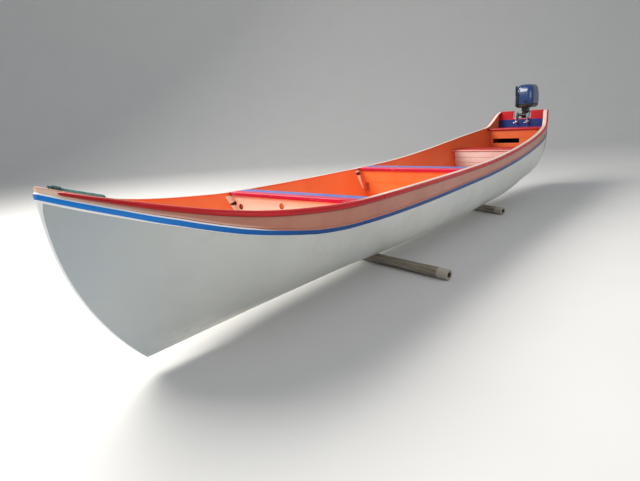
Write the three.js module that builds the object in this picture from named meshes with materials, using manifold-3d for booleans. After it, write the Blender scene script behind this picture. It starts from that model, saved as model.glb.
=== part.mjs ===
// A seven metre moulded motor canoe with its outboard, lying ashore on two round timbers.
// Units are millimetres. +X points to the bow, +Y to port and +Z up.
// Lengths along the hull are measured from the transom's outer face, heights from the ground.
import * as THREE from 'three';
import { mergeVertices } from 'three/addons/utils/BufferGeometryUtils.js';
import Module from 'manifold-3d';

const wasm = await Module();
wasm.setup();

// Driving dimensions of the whole
const MIDDLE_X = 3326.2; // from the transom's outer face to the middle of the overall length
const SEAT_GAP = 0.3; // between pieces that rest on each other
const SKIN_GAP = 0.6; // between the hull's skin and what follows its curve
const TIMBER_RADIUS = 48;
const KEEL_Z = 2 * TIMBER_RADIUS + SEAT_GAP;

// Driving dimensions of the hull
const TRANSOM_THICK = 45;
const WALL = 10;
const KEEL_HALF = 5; // half width of the flat on the keel and low on the stem
const STEM_SHAPE = 2.3; // power of the stem's curve
const TURN_PULL = 0.75; // how far a section is pulled towards its turn of bilge
const SECTION_STEPS = 10;
const STATIONS_A_ROW = 2;
const BOW_SOLID = 60; // the last stretch behind the stem has no room inside

// The hull's sections. Heights are above the keel line, and turn is the corner that a section is
// rounded from.
// Columns: keel x, sheer x, keel height, half breadth, sheer height, turn y, turn height
const SECTIONS = [
  [TRANSOM_THICK, TRANSOM_THICK, 262, 356, 1100, 400, 250],
  [125, 125, 240, 374, 1062, 415, 238],
  [230, 230, 214, 400, 978, 432, 224],
  [370, 370, 181, 430, 898, 455, 210],
  [560, 560, 139, 464, 871, 478, 208],
  [800, 800, 93, 499, 846, 492, 208],
  [1080, 1080, 50, 532, 818, 500, 200],
  [1400, 1400, 14, 557, 787, 502, 150],
  [1720, 1720, 0, 572, 759, 501, 115],
  [2165, 2165, 0, 586, 725, 500, 98],
  [2875, 2875, 0, 594, 690, 500, 92],
  [3580, 3580, 0, 603, 684, 500, 98],
  [4285, 4285, 0, 617, 690, 500, 120],
  [4900, 4900, 0, 631, 700, 484, 185],
  [5400, 5400, 0, 637, 714, 455, 200],
  [5700, 5740, 0, 635, 742, 425, 200],
  [5950, 6100, 0, 610, 786, 330, 190],
  [6150, 6390, 0, 546, 839, 220, 170],
  [6320, 6640, 0, 424, 901, 125, 150],
  [6450, 6815, 0, 292, 956, 64, 140],
  [6550, 6937, 0, 168, 997, 30, 130],
  [6610, 7003, 0, 85, 1021, 13, 120],
  [6650, 7052, 0, 16, 1039, 6, 120],
];

// Driving dimensions of what follows the sheer
const RAIL_BOW_X = 7004; // the rub rail's forward end, along the sheer
const CAP_THICK = 6;
const CAP_BOW_X = 6740;
// The rub rail is slimmer towards the bow. Its rise is how far it stands above the shell's rim.
// Columns: sheer x, height, how far it stands out, rise
const RAIL_SIZES = [
  [TRANSOM_THICK, 38, 21, 6],
  [5400, 38, 21, 4],
  [6200, 32, 18, 3],
  [6640, 26, 15, 3],
  [7052, 20, 12, 3],
];
// Columns: sheer x, width
const CAP_WIDTHS = [
  [TRANSOM_THICK, 48],
  [1080, 42],
  [4900, 40],
  [5740, 28],
  [7052, 22],
];
const BELT_PROUD = 7;
const BELT_BEVEL = 5;
const EMBED = 3; // what follows the skin is drawn this far into it, then cut by it

// The belt's upper edge, as a depth below the sheer along the skin
// Columns: sheer x, depth, width
const BELT_EDGES = [
  [TRANSOM_THICK, 307, 52],
  [125, 267, 52],
  [230, 187, 52],
  [370, 120, 52],
  [2165, 120, 52],
  [3250, 122, 52],
  [4285, 144, 52],
  [4900, 155, 52],
  [5400, 152, 52],
  [5740, 139, 52],
  [6290, 91, 52],
  [6590, 53, 51],
  [6937, 30, 48],
  [7052, 21, 46],
];

// Driving dimensions of the inside
const BULKHEAD_THICK = 16;
const THWART_THICK = 30;
// Columns: name, forward edge, width
const THWARTS = [
  ['thwart_forward', 5385, 185],
  ['thwart_middle', 3610, 200],
];
const SEAT_X = 1372; // forward face of the aft seat's bulkhead
const SEAT_Z = 660; // top of the aft seat above the keel line
const SEAT_DEPTH = 330;
const SEAT_TOP_THICK = 24;
const STERN_DECK_X = 362;
const STERN_DECK_Z = 872;
const STERN_DECK_THICK = 26;
const STERN_BULKHEAD_X = 340;

// Driving dimensions of the transom
const TRANSOM_TOP = 1110;
const NOTCH_HALF = 122;
const NOTCH_Z = 1000;
const TRANSOM_CORNER = 26;

// Driving dimensions of the outboard. Heights are above the keel line.
const TILT_X = -15;
const TILT_Z = 1048;
const STEER_X = -78;
const CLAMP_IN = 74; // inner face of a clamp plate, from the centre plane
const CLAMP_THICK = 14;
const TUBE_RADIUS = 9;
const BORE_GAP = 0.4;
const HUB_RADIUS = 21;
const SWIVEL_RADIUS = 24;
const SWIVEL_LOW = 792;
const SWIVEL_HIGH = 1092;
const YOKE_Z = SWIVEL_HIGH + 6; // underside of the upper yoke
const PAN_LOW = 1150;
const PAN_HIGH = 1208;
const COWL_TOP = 1492;
const COWL_WALL = 4;
const LEG_FRONT = -118;
const PLATE_Z = 425; // the anti-ventilation plate
const PLATE_HALF = 6;
const SHAFT_Z = 258; // the propeller's shaft
const SKEG_Z = 118;
const PROP_RADIUS = 116;
const GEARCASE_RADIUS = 41;

const colours = {
  white: 0xd6d6cc,
  blue: 0x1767c4,
  salmon: 0xe09070,
  orange: 0xf07a42,
  red: 0xc8202c,
  cream: 0xf3e3c8,
  black: 0x17181b,
  steel: 0xa9adb0,
  cowl: 0x1d56a5,
  timber: 0x8a7d6b,
  rope: 0x2c6a70,
};

function material(colour, roughness = 0.5, metalness = 0) {
  return new THREE.MeshStandardMaterial({ color: colours[colour], roughness, metalness });
}

const boat = new THREE.Group();
boat.position.set(-MIDDLE_X, 0, 0);

function place(name, geometry, colour, roughness, metalness) {
  const mesh = new THREE.Mesh(geometry, material(colour, roughness, metalness));
  mesh.name = name;
  boat.add(mesh);
  return mesh;
}

// Solids and booleans

function asSolid(geometry) {
  const bare = geometry.clone();
  bare.deleteAttribute('normal');
  bare.deleteAttribute('uv');
  const merged = mergeVertices(bare, 1e-4);
  return new wasm.Manifold(new wasm.Mesh({
    numProp: 3,
    vertProperties: new Float32Array(merged.attributes.position.array),
    triVerts: new Uint32Array(merged.index.array),
  }));
}

function asGeometry(solid) {
  const raw = solid.getMesh();
  const geometry = new THREE.BufferGeometry();
  geometry.setAttribute('position', new THREE.BufferAttribute(new Float32Array(raw.vertProperties), 3));
  geometry.setIndex(new THREE.BufferAttribute(new Uint32Array(raw.triVerts), 1));
  geometry.computeVertexNormals();
  return geometry;
}

function meet(geometry, solid) {
  return asGeometry(asSolid(geometry).intersect(solid));
}

function join(...geometries) {
  return asGeometry(geometries.map(asSolid).reduce((a, b) => a.add(b)));
}

function cut(geometry, ...cutters) {
  return asGeometry(cutters.map(asSolid).reduce((a, b) => a.subtract(b), asSolid(geometry)));
}

function volumeOf(points, index) {
  let six = 0;
  const a = new THREE.Vector3();
  const b = new THREE.Vector3();
  const c = new THREE.Vector3();
  for (let i = 0; i < index.length; i += 3) {
    a.fromArray(points[index[i]]);
    b.fromArray(points[index[i + 1]]);
    c.fromArray(points[index[i + 2]]);
    six += a.dot(b.cross(c));
  }
  return six / 6;
}

// A closed body through rings of equal count. The end caps are ladders of quads across each ring.
function loft(rings) {
  const count = rings[0].length;
  const points = rings.flat();
  const index = [];
  const quad = (a, b, c, d) => index.push(a, b, c, a, c, d);
  for (let i = 0; i < rings.length - 1; i += 1) {
    for (let k = 0; k < count; k += 1) {
      const next = (k + 1) % count;
      quad(i * count + k, i * count + next, (i + 1) * count + next, (i + 1) * count + k);
    }
  }
  const last = (rings.length - 1) * count;
  const half = count / 2;
  for (let k = 0; k < half - 1; k += 1) {
    const across = count - 1 - k;
    quad(across, across - 1, k + 1, k);
    quad(last + k, last + k + 1, last + across - 1, last + across);
  }
  if (volumeOf(points, index) < 0) {
    index.reverse();
  }
  const geometry = new THREE.BufferGeometry();
  geometry.setAttribute('position', new THREE.Float32BufferAttribute(points.flat(), 3));
  geometry.setIndex(index);
  geometry.computeVertexNormals();
  return geometry;
}

function box(x0, x1, y0, y1, z0, z1) {
  const geometry = new THREE.BoxGeometry(x1 - x0, y1 - y0, z1 - z0);
  geometry.translate((x0 + x1) / 2, (y0 + y1) / 2, KEEL_Z + (z0 + z1) / 2);
  return geometry;
}

// A cylinder between two points; the heights are above the keel line
function rod(from, to, radius, sides = 20, farRadius = radius) {
  const a = new THREE.Vector3(...from);
  const b = new THREE.Vector3(...to);
  const geometry = new THREE.CylinderGeometry(farRadius, radius, a.distanceTo(b), sides);
  const turn = new THREE.Quaternion().setFromUnitVectors(
    new THREE.Vector3(0, 1, 0),
    b.clone().sub(a).normalize(),
  );
  geometry.applyQuaternion(turn);
  const middle = a.add(b).multiplyScalar(0.5);
  geometry.translate(middle.x, middle.y, middle.z + KEEL_Z);
  return geometry;
}

// The hull's curves

function alongTable(table, u) {
  const top = table.length - 1;
  const i = Math.min(Math.floor(u), top - 1);
  const t = u - i;
  const row = (n) => table[Math.max(0, Math.min(top, n))];
  return table[0].map((unused, c) => {
    const [p0, p1, p2, p3] = [row(i - 1)[c], row(i)[c], row(i + 1)[c], row(i + 2)[c]];
    const slope1 = (p2 - p0) / 2;
    const slope2 = (p3 - p1) / 2;
    const t2 = t * t;
    const t3 = t2 * t;
    return (2 * t3 - 3 * t2 + 1) * p1 + (t3 - 2 * t2 + t) * slope1
      + (3 * t2 - 2 * t3) * p2 + (t3 - t2) * slope2;
  });
}

function tableAt(table, x) {
  const next = table.slice(1).findIndex((row) => row[0] >= x);
  const i = next < 0 ? table.length - 2 : next;
  const [low, high] = [table[i], table[i + 1]];
  const t = Math.max(0, Math.min(1, (x - low[0]) / (high[0] - low[0])));
  return low.map((v, c) => v + (high[c] - v) * t);
}

function bezier(a, b, c, d, t) {
  const s = 1 - t;
  return s * s * s * a + 3 * s * s * t * b + 3 * s * t * t * c + t * t * t * d;
}

// Port half of a section, from the keel to the sheer, as [y, height] pairs
function halfSection(row, steps) {
  const [, , keel, half, sheer, turnY, turnZ] = row;
  const low = [KEEL_HALF, keel];
  const top = [half, sheer];
  const turn = [turnY, turnZ];
  const c1 = low.map((v, i) => v + TURN_PULL * (turn[i] - v));
  const c2 = top.map((v, i) => v + TURN_PULL * (turn[i] - v));
  const points = [];
  for (let n = 0; n <= steps; n += 1) {
    const t = n / steps;
    points.push([bezier(low[0], c1[0], c2[0], top[0], t), bezier(low[1], c1[1], c2[1], top[1], t)]);
  }
  return points;
}

// A section's points lean forward with the stem, more the nearer they are to the bow
function lean(row, height) {
  const [keelX, sheerX, keel, , sheer] = row;
  const share = Math.max(0, Math.min(1, (height - keel) / (sheer - keel)));
  return keelX + (sheerX - keelX) * (1 - (1 - share) ** STEM_SHAPE);
}

function resample(points, steps) {
  const lengths = [0];
  for (let i = 1; i < points.length; i += 1) {
    const [a, b] = [points[i - 1], points[i]];
    lengths.push(lengths[i - 1] + Math.hypot(...a.map((v, c) => v - b[c])));
  }
  const total = lengths[lengths.length - 1];
  const out = [];
  for (let n = 0; n <= steps; n += 1) {
    const goal = (total * n) / steps;
    const found = lengths.findIndex((length) => length >= goal - 1e-9);
    const i = Math.max(1, found);
    const t = (goal - lengths[i - 1]) / (lengths[i] - lengths[i - 1]);
    out.push(points[i - 1].map((v, c) => v + (points[i][c] - v) * t));
  }
  return out;
}

// The same section on the inside of the shell, up to the rim
const INNER_HALF = 2;
function innerSection(row, steps) {
  const outer = halfSection(row, 64);
  const sheer = row[4];
  const moved = outer.map(([y, z], i) => {
    const a = outer[Math.max(0, i - 1)];
    const b = outer[Math.min(outer.length - 1, i + 1)];
    const size = Math.hypot(b[0] - a[0], b[1] - a[1]);
    return [y - (WALL * (b[1] - a[1])) / size, z + (WALL * (b[0] - a[0])) / size];
  });
  const kept = moved.filter(([y, z]) => y > INNER_HALF && z < sheer - 1);
  if (kept.length < 3) {
    return null;
  }
  const first = moved.indexOf(kept[0]);
  const foot = first > 0 ? moved[first - 1] : kept[0];
  const t = first > 0 ? (INNER_HALF - foot[0]) / (kept[0][0] - foot[0]) : 0;
  const start = first > 0 ? [INNER_HALF, foot[1] + (kept[0][1] - foot[1]) * t] : [INNER_HALF, kept[0][1]];
  const high = kept[kept.length - 1];
  const before = kept[kept.length - 2];
  const rise = (sheer - high[1]) / (high[1] - before[1]);
  const end = [high[0] + (high[0] - before[0]) * rise, sheer];
  return resample([start, ...kept, end], steps);
}

// Every station of the shell: its table row, and the outside and inside as [x, y, z] from keel to rim
const stations = [];
const stationCount = (SECTIONS.length - 1) * STATIONS_A_ROW;
for (let n = 0; n <= stationCount; n += 1) {
  const row = alongTable(SECTIONS, n / STATIONS_A_ROW);
  row[2] = Math.max(0, row[2]);
  const raise = ([y, z]) => [lean(row, z), y, z + KEEL_Z];
  const inside = innerSection(row, SECTION_STEPS);
  stations.push({
    row,
    outer: halfSection(row, SECTION_STEPS).map(raise),
    inner: inside && row[1] < SECTIONS[SECTIONS.length - 1][1] - BOW_SOLID ? inside.map(raise) : null,
  });
}

const mirror = ([x, y, z]) => [x, -y, z];
const across = (half) => [...half.slice().reverse(), ...half.map(mirror)];

const ROOM_ABOVE = 60;
const ROOM_BEYOND = 20;

// The space inside the shell, up past the rim, kept off the skin by a small gap
function room(off) {
  const rings = stations.filter((station) => station.inner).map(({ inner: half }) => {
    const [x, y, z] = half[half.length - 1];
    return [...half, [x, y, z + ROOM_ABOVE]].map(([px, py, pz]) => [px, Math.max(1, py - off), pz + off]);
  });
  rings.unshift(rings[0].map(([x, y, z]) => [x - ROOM_BEYOND, y, z]));
  return loft(rings.map(across));
}

place('hull_shell', cut(loft(stations.map((station) => across(station.outer))), room(0)), 'white', 0.45);

// Everything that is fitted inside the shell is cut to its room
const fittedRoom = asSolid(room(SKIN_GAP));
function fitted(x0, x1, z0, z1) {
  const wide = 900;
  return meet(box(x0, x1, -wide, wide, z0, z1), fittedRoom);
}

// Half width of the room at a length and a height above the keel line
function roomHalf(x, height) {
  const i = stations.findIndex((station, n) => n > 0 && station.row[0] >= x);
  const [a, b] = [stations[i - 1], stations[i]];
  const t = (x - a.row[0]) / (b.row[0] - a.row[0]);
  const half = a.inner.map((p, n) => p.map((v, c) => v + (b.inner[n][c] - v) * t));
  const n = half.findIndex((p, k) => k > 0 && p[2] >= height + KEEL_Z);
  const [low, high] = [half[n - 1], half[n]];
  return low[1] + ((high[1] - low[1]) * (height + KEEL_Z - low[2])) / (high[2] - low[2]);
}

function sheerAt(x) {
  const i = stations.findIndex((station, n) => n > 0 && station.row[1] >= x);
  const [a, b] = [stations[i - 1], stations[i]];
  const t = (x - a.row[1]) / (b.row[1] - a.row[1]);
  return { half: a.row[3] + (b.row[3] - a.row[3]) * t, sheer: a.row[4] + (b.row[4] - a.row[4]) * t };
}

// A place on the shell's port skin: station n, and depth below the sheer along the skin
function skinPoint(n, depth) {
  const { outer } = stations[n];
  let left = depth;
  let j = outer.length - 1;
  const length = (k) => new THREE.Vector3(...outer[k]).distanceTo(new THREE.Vector3(...outer[k - 1]));
  while (j > 1 && left > length(j)) {
    left -= length(j);
    j -= 1;
  }
  const a = new THREE.Vector3(...outer[j]);
  const b = new THREE.Vector3(...outer[j - 1]);
  const t = left / a.distanceTo(b);
  const fore = stations[Math.min(n + 1, stationCount)].outer;
  const aft = stations[Math.max(n - 1, 0)].outer;
  const mix = (list) => new THREE.Vector3(...list[j]).lerp(new THREE.Vector3(...list[j - 1]), t);
  const ahead = mix(fore).sub(mix(aft));
  const up = a.clone().sub(b);
  const normal = up.cross(ahead).normalize();
  return { point: a.clone().lerp(b, t), normal };
}

function offSkin(n, depth, off) {
  const { point, normal } = skinPoint(n, depth);
  return point.addScaledVector(normal, off).toArray();
}

// The hull's outside, a small gap larger and carried up past the rim, cuts what follows the skin
function grownHull(off) {
  const rings = stations.map(({ outer }, n) => outer.map((unused, j) => {
    const fore = stations[Math.min(n + 1, stationCount)].outer[j];
    const aft = stations[Math.max(n - 1, 0)].outer[j];
    const high = new THREE.Vector3(...outer[Math.min(j + 1, SECTION_STEPS)]);
    const low = new THREE.Vector3(...outer[Math.max(j - 1, 0)]);
    const ahead = new THREE.Vector3(...fore).sub(new THREE.Vector3(...aft));
    const normal = high.sub(low).cross(ahead).normalize();
    const point = new THREE.Vector3(...outer[j]).addScaledVector(normal, off);
    return [point.x + (n === stationCount ? off : 0), point.y, point.z];
  }));
  rings.forEach((ring) => {
    const [x, y, z] = ring[SECTION_STEPS];
    ring.push([x, y, z + ROOM_ABOVE]);
  });
  rings.unshift(rings[0].map(([x, y, z]) => [x - ROOM_BEYOND, y, z]));
  return loft(rings.map(across));
}
const skinCutter = grownHull(SKIN_GAP);

// The blue belt runs from the stern round the stem head and back
function beltRing(n) {
  const [, top, width] = tableAt(BELT_EDGES, stations[n].row[1]);
  const low = top + width;
  const face = SKIN_GAP + BELT_PROUD;
  return [
    offSkin(n, top, -EMBED),
    offSkin(n, top, SKIN_GAP + 1),
    offSkin(n, top + BELT_BEVEL, face),
    offSkin(n, low - BELT_BEVEL, face),
    offSkin(n, low, SKIN_GAP + 1),
    offSkin(n, low, -EMBED),
  ];
}

function belt() {
  const port = stations.map((station, n) => beltRing(n));
  const outs = [-EMBED, SKIN_GAP + 1, SKIN_GAP + BELT_PROUD, SKIN_GAP + BELT_PROUD, SKIN_GAP + 1, -EMBED];
  const stem = stations[stationCount];
  const nose = port[stationCount].map(([, , z], k) => [lean(stem.row, z - KEEL_Z) + outs[k] + 1, 0, z]);
  const starboard = port.map((ring) => ring.map(mirror)).reverse();
  return cut(loft([...port, nose, ...starboard]), skinCutter);
}

// The rub rail is half round and closes down to a small round end behind the stem
const RAIL_ARC_STEPS = 6;
function rubRail() {
  const kept = stations.map((station, n) => n).filter((n) => stations[n].row[1] < RAIL_BOW_X);
  const tip = kept[kept.length - 1];
  const rings = kept.map((n) => {
    const [, tall, proud, rise] = tableAt(RAIL_SIZES, stations[n].row[1]);
    const middle = tall / 2 - rise;
    const shrink = n === tip ? 0.5 : 1;
    const ring = [];
    for (let k = 0; k <= RAIL_ARC_STEPS; k += 1) {
      const angle = (Math.PI * k) / RAIL_ARC_STEPS;
      const down = middle - (tall / 2) * shrink * Math.cos(angle);
      const foot = k === RAIL_ARC_STEPS ? -EMBED : SKIN_GAP;
      const [x, y, z] = offSkin(n, Math.max(0, down), foot + proud * shrink * Math.sin(angle));
      ring.push([x, y, z + Math.max(0, -down)]);
    }
    ring.push(offSkin(n, middle, -EMBED));
    return ring;
  });
  return loft(rings);
}

// The pale cap lies on the shell's rim and overhangs inwards
function gunwaleCap() {
  const kept = stations.map((station, n) => n).filter((n) => stations[n].row[1] < CAP_BOW_X);
  const rings = kept.map((n) => {
    const { outer } = stations[n];
    const rim = new THREE.Vector3(...outer[outer.length - 1]);
    const fore = stations[Math.min(n + 1, stationCount)].outer.at(-1);
    const aft = stations[Math.max(n - 1, 0)].outer.at(-1);
    const ahead = new THREE.Vector3(fore[0] - aft[0], fore[1] - aft[1], fore[2] - aft[2]).normalize();
    const inward = new THREE.Vector3(0, 0, 1).cross(ahead).normalize();
    if (inward.y > 0) {
      inward.negate();
    }
    const spot = (side, rise) => {
      const point = rim.clone().addScaledVector(inward, side);
      return [point.x, point.y, point.z + rise];
    };
    const bottom = SEAT_GAP;
    const top = SEAT_GAP + CAP_THICK;
    const [, width] = tableAt(CAP_WIDTHS, stations[n].row[1]);
    return [spot(1, bottom), spot(1, top), spot(width - 3, top), spot(width, top - 3),
      spot(width, bottom + 2), spot(width - 2, bottom)];
  });
  return loft(rings);
}

// The small deck between the rails at the bow lies on the rim as well. Its aft edge stands a
// little ahead of the caps and clear of the rim.
const DECK_AFT_X = 6700;
const DECK_CROWN = 3;
const DECK_EDGE = { ahead: 4, inset: 3, rise: 1.5 };
const deckRings = stations.filter((station) => station.row[1] > DECK_AFT_X).map(({ outer }, i) => {
  const [rimX, rimY, rimZ] = outer[outer.length - 1];
  const x = i === 0 ? rimX + DECK_EDGE.ahead : rimX;
  const side = Math.max(4, rimY - 1 - (i === 0 ? DECK_EDGE.inset : 0));
  const low = rimZ + SEAT_GAP + (i === 0 ? DECK_EDGE.rise : 0);
  const high = low + CAP_THICK;
  return [[x, side, low], [x, side, high], [x, side / 2, high + DECK_CROWN], [x, -side / 2, high + DECK_CROWN],
    [x, -side, high], [x, -side, low]];
});

// A short painter is drawn taut along the deck, from its knot to a turn about the deck's aft edge
const ROPE_RADIUS = 8;
const ROPE_SIDES = 10;
const ROPE_TAIL = 70;
const ROPE_TURN_STEPS = 5;
const ROPE_OVER = ROPE_RADIUS + SEAT_GAP;

// The knot and the rope's fore end, as rings along the deck
const KNOT_RINGS = [
  // x, half width, half height
  [6930, 8, 8],
  [6942, 19, 12],
  [6960, 22, 14],
  [6978, 19, 12],
  [6990, 8, 8],
  [7002, 8, 8],
];

function painter() {
  const tops = deckRings.map((ring) => [ring[2][0], ring[2][2]]);
  const lows = deckRings.map((ring) => [ring[0][0], ring[0][2]]);
  const [aftX, aftTop] = tops[0];
  const aftLow = lows[0][1];
  const middle = (aftTop + aftLow) / 2;
  const turn = (aftTop - aftLow) / 2 + ROPE_OVER;
  const [nextX, nextTop] = tops[1];
  const slope = Math.atan2(nextTop - aftTop, nextX - aftX);
  const knotX = KNOT_RINGS[0][0];
  const tailX = aftX + ROPE_TAIL;
  const tailZ = tableAt(lows, tailX)[1] - ROPE_OVER / Math.cos(slope);
  const path = [[tailX, tailZ, ROPE_RADIUS, ROPE_RADIUS]];
  for (let i = 0; i <= ROPE_TURN_STEPS; i += 1) {
    const angle = slope - Math.PI / 2 - (Math.PI * i) / ROPE_TURN_STEPS;
    path.push([aftX + turn * Math.cos(angle), middle + turn * Math.sin(angle), ROPE_RADIUS, ROPE_RADIUS]);
  }
  tops.slice(1).filter(([x]) => x < knotX).forEach(([x, z]) => {
    path.push([x, z + ROPE_OVER / Math.cos(slope), ROPE_RADIUS, ROPE_RADIUS]);
  });
  KNOT_RINGS.forEach(([x, wide, tall]) => {
    path.push([x, tableAt(tops, x)[1] + (tall + SEAT_GAP) / Math.cos(slope), wide, tall]);
  });
  return loft(path.map(([x, z, wide, tall], i) => {
    const tilt = bisector(path, i);
    return ringAt(x, z, wide, tall, tilt);
  }));
}

// The direction of a path of x and z at one of its points, halfway between the stretches it joins
function bisector(path, i) {
  const way = (from, to) => Math.atan2(to[1] - from[1], to[0] - from[0]);
  if (i === 0) return way(path[0], path[1]);
  if (i === path.length - 1) return way(path[i - 1], path[i]);
  const before = way(path[i - 1], path[i]);
  const after = way(path[i], path[i + 1]);
  const both = [Math.cos(before) + Math.cos(after), Math.sin(before) + Math.sin(after)];
  return Math.atan2(both[1], both[0]);
}

// An upright oval ring on the centre plane, square to a path that runs at the angle tilt
function ringAt(x, z, wide, tall, tilt) {
  return Array.from({ length: ROPE_SIDES }, (unused, k) => {
    const angle = (2 * Math.PI * k) / ROPE_SIDES;
    const rise = tall * Math.sin(angle);
    return [x - rise * Math.sin(tilt), wide * Math.cos(angle), z + rise * Math.cos(tilt)];
  });
}

place('blue_belt', belt(), 'blue', 0.35);
const flip = new THREE.Matrix4().makeScale(1, -1, 1);
function mirrored(geometry) {
  const copy = geometry.clone().applyMatrix4(flip);
  copy.index.array.reverse();
  copy.computeVertexNormals();
  return copy;
}
const rail = rubRail();
place('rub_rail_port', cut(rail, skinCutter), 'red', 0.3);
place('rub_rail_starboard', cut(mirrored(rail), skinCutter), 'red', 0.3);
const cap = gunwaleCap();
place('gunwale_cap_port', cap, 'white', 0.45);
place('gunwale_cap_starboard', mirrored(cap), 'white', 0.45);
place('bow_deck', loft(deckRings), 'salmon', 0.5);
place('painter', painter(), 'rope', 0.9);

// The inside

// Turns an outline drawn as y and height, and extruded, so that it is extruded along x
const ACROSS = new THREE.Matrix4().set(
  0, 0, 1, 0,
  1, 0, 0, 0,
  0, 1, 0, 0,
  0, 0, 0, 1,
);
const PANEL_GROOVES = [0.36, 0.66]; // as shares of the panel's height

// A thwart is a board between the gunwale caps and level with them
function thwart(front, width) {
  const aft = front - width;
  const rings = [aft, front].map((x) => {
    const { half, sheer } = sheerAt(x);
    const [, capWidth] = tableAt(CAP_WIDTHS, x);
    const side = half - capWidth - 1;
    const top = KEEL_Z + sheer + SEAT_GAP + CAP_THICK;
    return [[x, side, top - THWART_THICK], [x, side, top], [x, -side, top], [x, -side, top - THWART_THICK]];
  });
  return loft(rings);
}

for (const [name, front, width] of THWARTS) {
  place(name, thwart(front, width), 'blue', 0.3);
}

function underThwart(front) {
  return sheerAt(front).sheer + CAP_THICK - THWART_THICK;
}

// Bulkhead under the forward thwart
// Columns: y, height, radius of each hand hole
const HAND_HOLES = [
  [-576, 627, 15],
  [-512, 602, 22],
  [-65, 633, 23],
];
const LIP_SETBACK = 14; // from a thwart's forward edge to its bulkhead
function bulkhead(front, top) {
  return fitted(front - BULKHEAD_THICK, front, -KEEL_Z, top);
}

function thwartBulkhead([, thwartFront], makeOpenings) {
  const front = thwartFront - LIP_SETBACK;
  const top = underThwart(front - BULKHEAD_THICK) - SEAT_GAP;
  return cut(bulkhead(front, top), ...makeOpenings(front - BULKHEAD_THICK - 5, front + 5));
}

place('bulkhead_forward', thwartBulkhead(THWARTS[0], (aft, fore) => (
  HAND_HOLES.map(([y, z, radius]) => rod([aft, y, z], [fore, y, z], radius, 18))
)), 'cream', 0.5);

// The one under the middle thwart has a square opening close to the starboard side
const HATCH = { y0: -521, y1: -461, z0: 440, z1: 532 };
place('bulkhead_middle', thwartBulkhead(THWARTS[1], (aft, fore) => (
  [box(aft, fore, HATCH.y0, HATCH.y1, HATCH.z0, HATCH.z1)]
)), 'orange', 0.5);

// The aft seat: its bulkheads, a grooved panel on the front one and the seat board
const seatLow = SEAT_Z - SEAT_TOP_THICK;
place('seat_front', bulkhead(SEAT_X, seatLow - SEAT_GAP), 'orange', 0.5);
place('seat_back', bulkhead(SEAT_X - SEAT_DEPTH + BULKHEAD_THICK, seatLow - SEAT_GAP), 'orange', 0.5);
place('seat_top', fitted(SEAT_X - SEAT_DEPTH, SEAT_X + 22, seatLow, SEAT_Z), 'red', 0.4);

const PANEL = { low: 402, high: 632, corner: 110, thick: 12, groove: 9, grooveDeep: 5, side: 40 };
function seatPanel() {
  const half = roomHalf(SEAT_X, PANEL.low + PANEL.corner) - PANEL.side / 2;
  const { low, high, corner, thick } = PANEL;
  const outline = new THREE.Shape();
  outline.moveTo(-half, high);
  outline.lineTo(-half, low + corner);
  outline.absarc(corner - half, low + corner, corner, Math.PI, 1.5 * Math.PI, false);
  outline.lineTo(half - corner, low);
  outline.absarc(half - corner, low + corner, corner, 1.5 * Math.PI, 2 * Math.PI, false);
  outline.lineTo(half, high);
  outline.closePath();
  const options = { depth: thick, bevelEnabled: false, curveSegments: 6 };
  const geometry = new THREE.ExtrudeGeometry(outline, options);
  geometry.applyMatrix4(ACROSS.clone().setPosition(SEAT_X + SEAT_GAP, 0, KEEL_Z));
  const face = SEAT_X + SEAT_GAP + thick;
  const grooves = PANEL_GROOVES.map((share) => {
    const z = high - share * (high - low) - PANEL.groove / 2;
    return box(face - PANEL.grooveDeep, face + 5, -half - 5, half + 5, z, z + PANEL.groove);
  });
  return cut(geometry, ...grooves);
}
place('seat_panel', seatPanel(), 'white', 0.5);

// The stern deck ahead of the transom, on a bulkhead with a long opening
const LOCKER = { y0: -330, y1: 62, z0: 655, z1: 722 };
const deckLow = STERN_DECK_Z - STERN_DECK_THICK;
place('stern_deck', fitted(TRANSOM_THICK + SEAT_GAP, STERN_DECK_X, deckLow, STERN_DECK_Z), 'red', 0.4);
place('stern_bulkhead', cut(
  bulkhead(STERN_BULKHEAD_X, deckLow - SEAT_GAP),
  box(STERN_BULKHEAD_X - BULKHEAD_THICK - 5, STERN_BULKHEAD_X + 5,
    LOCKER.y0, LOCKER.y1, LOCKER.z0, LOCKER.z1),
), 'orange', 0.5);

// The transom board has the hull's end outline, rounded upper corners and the motor's notch
function transom() {
  const { row } = stations[0];
  const port = halfSection(row, SECTION_STEPS).filter(([, z]) => z < TRANSOM_TOP - 3 * TRANSOM_CORNER);
  const edge = row[3];
  const outline = new THREE.Shape();
  outline.moveTo(...port[0]);
  port.slice(1).forEach(([y, z]) => outline.lineTo(y, z));
  outline.lineTo(edge, TRANSOM_TOP - TRANSOM_CORNER);
  outline.absarc(edge - TRANSOM_CORNER, TRANSOM_TOP - TRANSOM_CORNER, TRANSOM_CORNER, 0, Math.PI / 2, false);
  outline.lineTo(NOTCH_HALF, TRANSOM_TOP);
  outline.lineTo(NOTCH_HALF - 8, NOTCH_Z);
  outline.lineTo(8 - NOTCH_HALF, NOTCH_Z);
  outline.lineTo(-NOTCH_HALF, TRANSOM_TOP);
  outline.absarc(TRANSOM_CORNER - edge, TRANSOM_TOP - TRANSOM_CORNER, TRANSOM_CORNER,
    Math.PI / 2, Math.PI, false);
  port.slice().reverse().forEach(([y, z]) => outline.lineTo(-y, z));
  const depth = TRANSOM_THICK - SEAT_GAP;
  const geometry = new THREE.ExtrudeGeometry(outline, { depth, bevelEnabled: false, curveSegments: 5 });
  geometry.applyMatrix4(ACROSS.clone().setPosition(0, 0, KEEL_Z));
  return geometry;
}
place('transom', transom(), 'red', 0.4);

// The outboard's clamp, fixed to the transom

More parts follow.
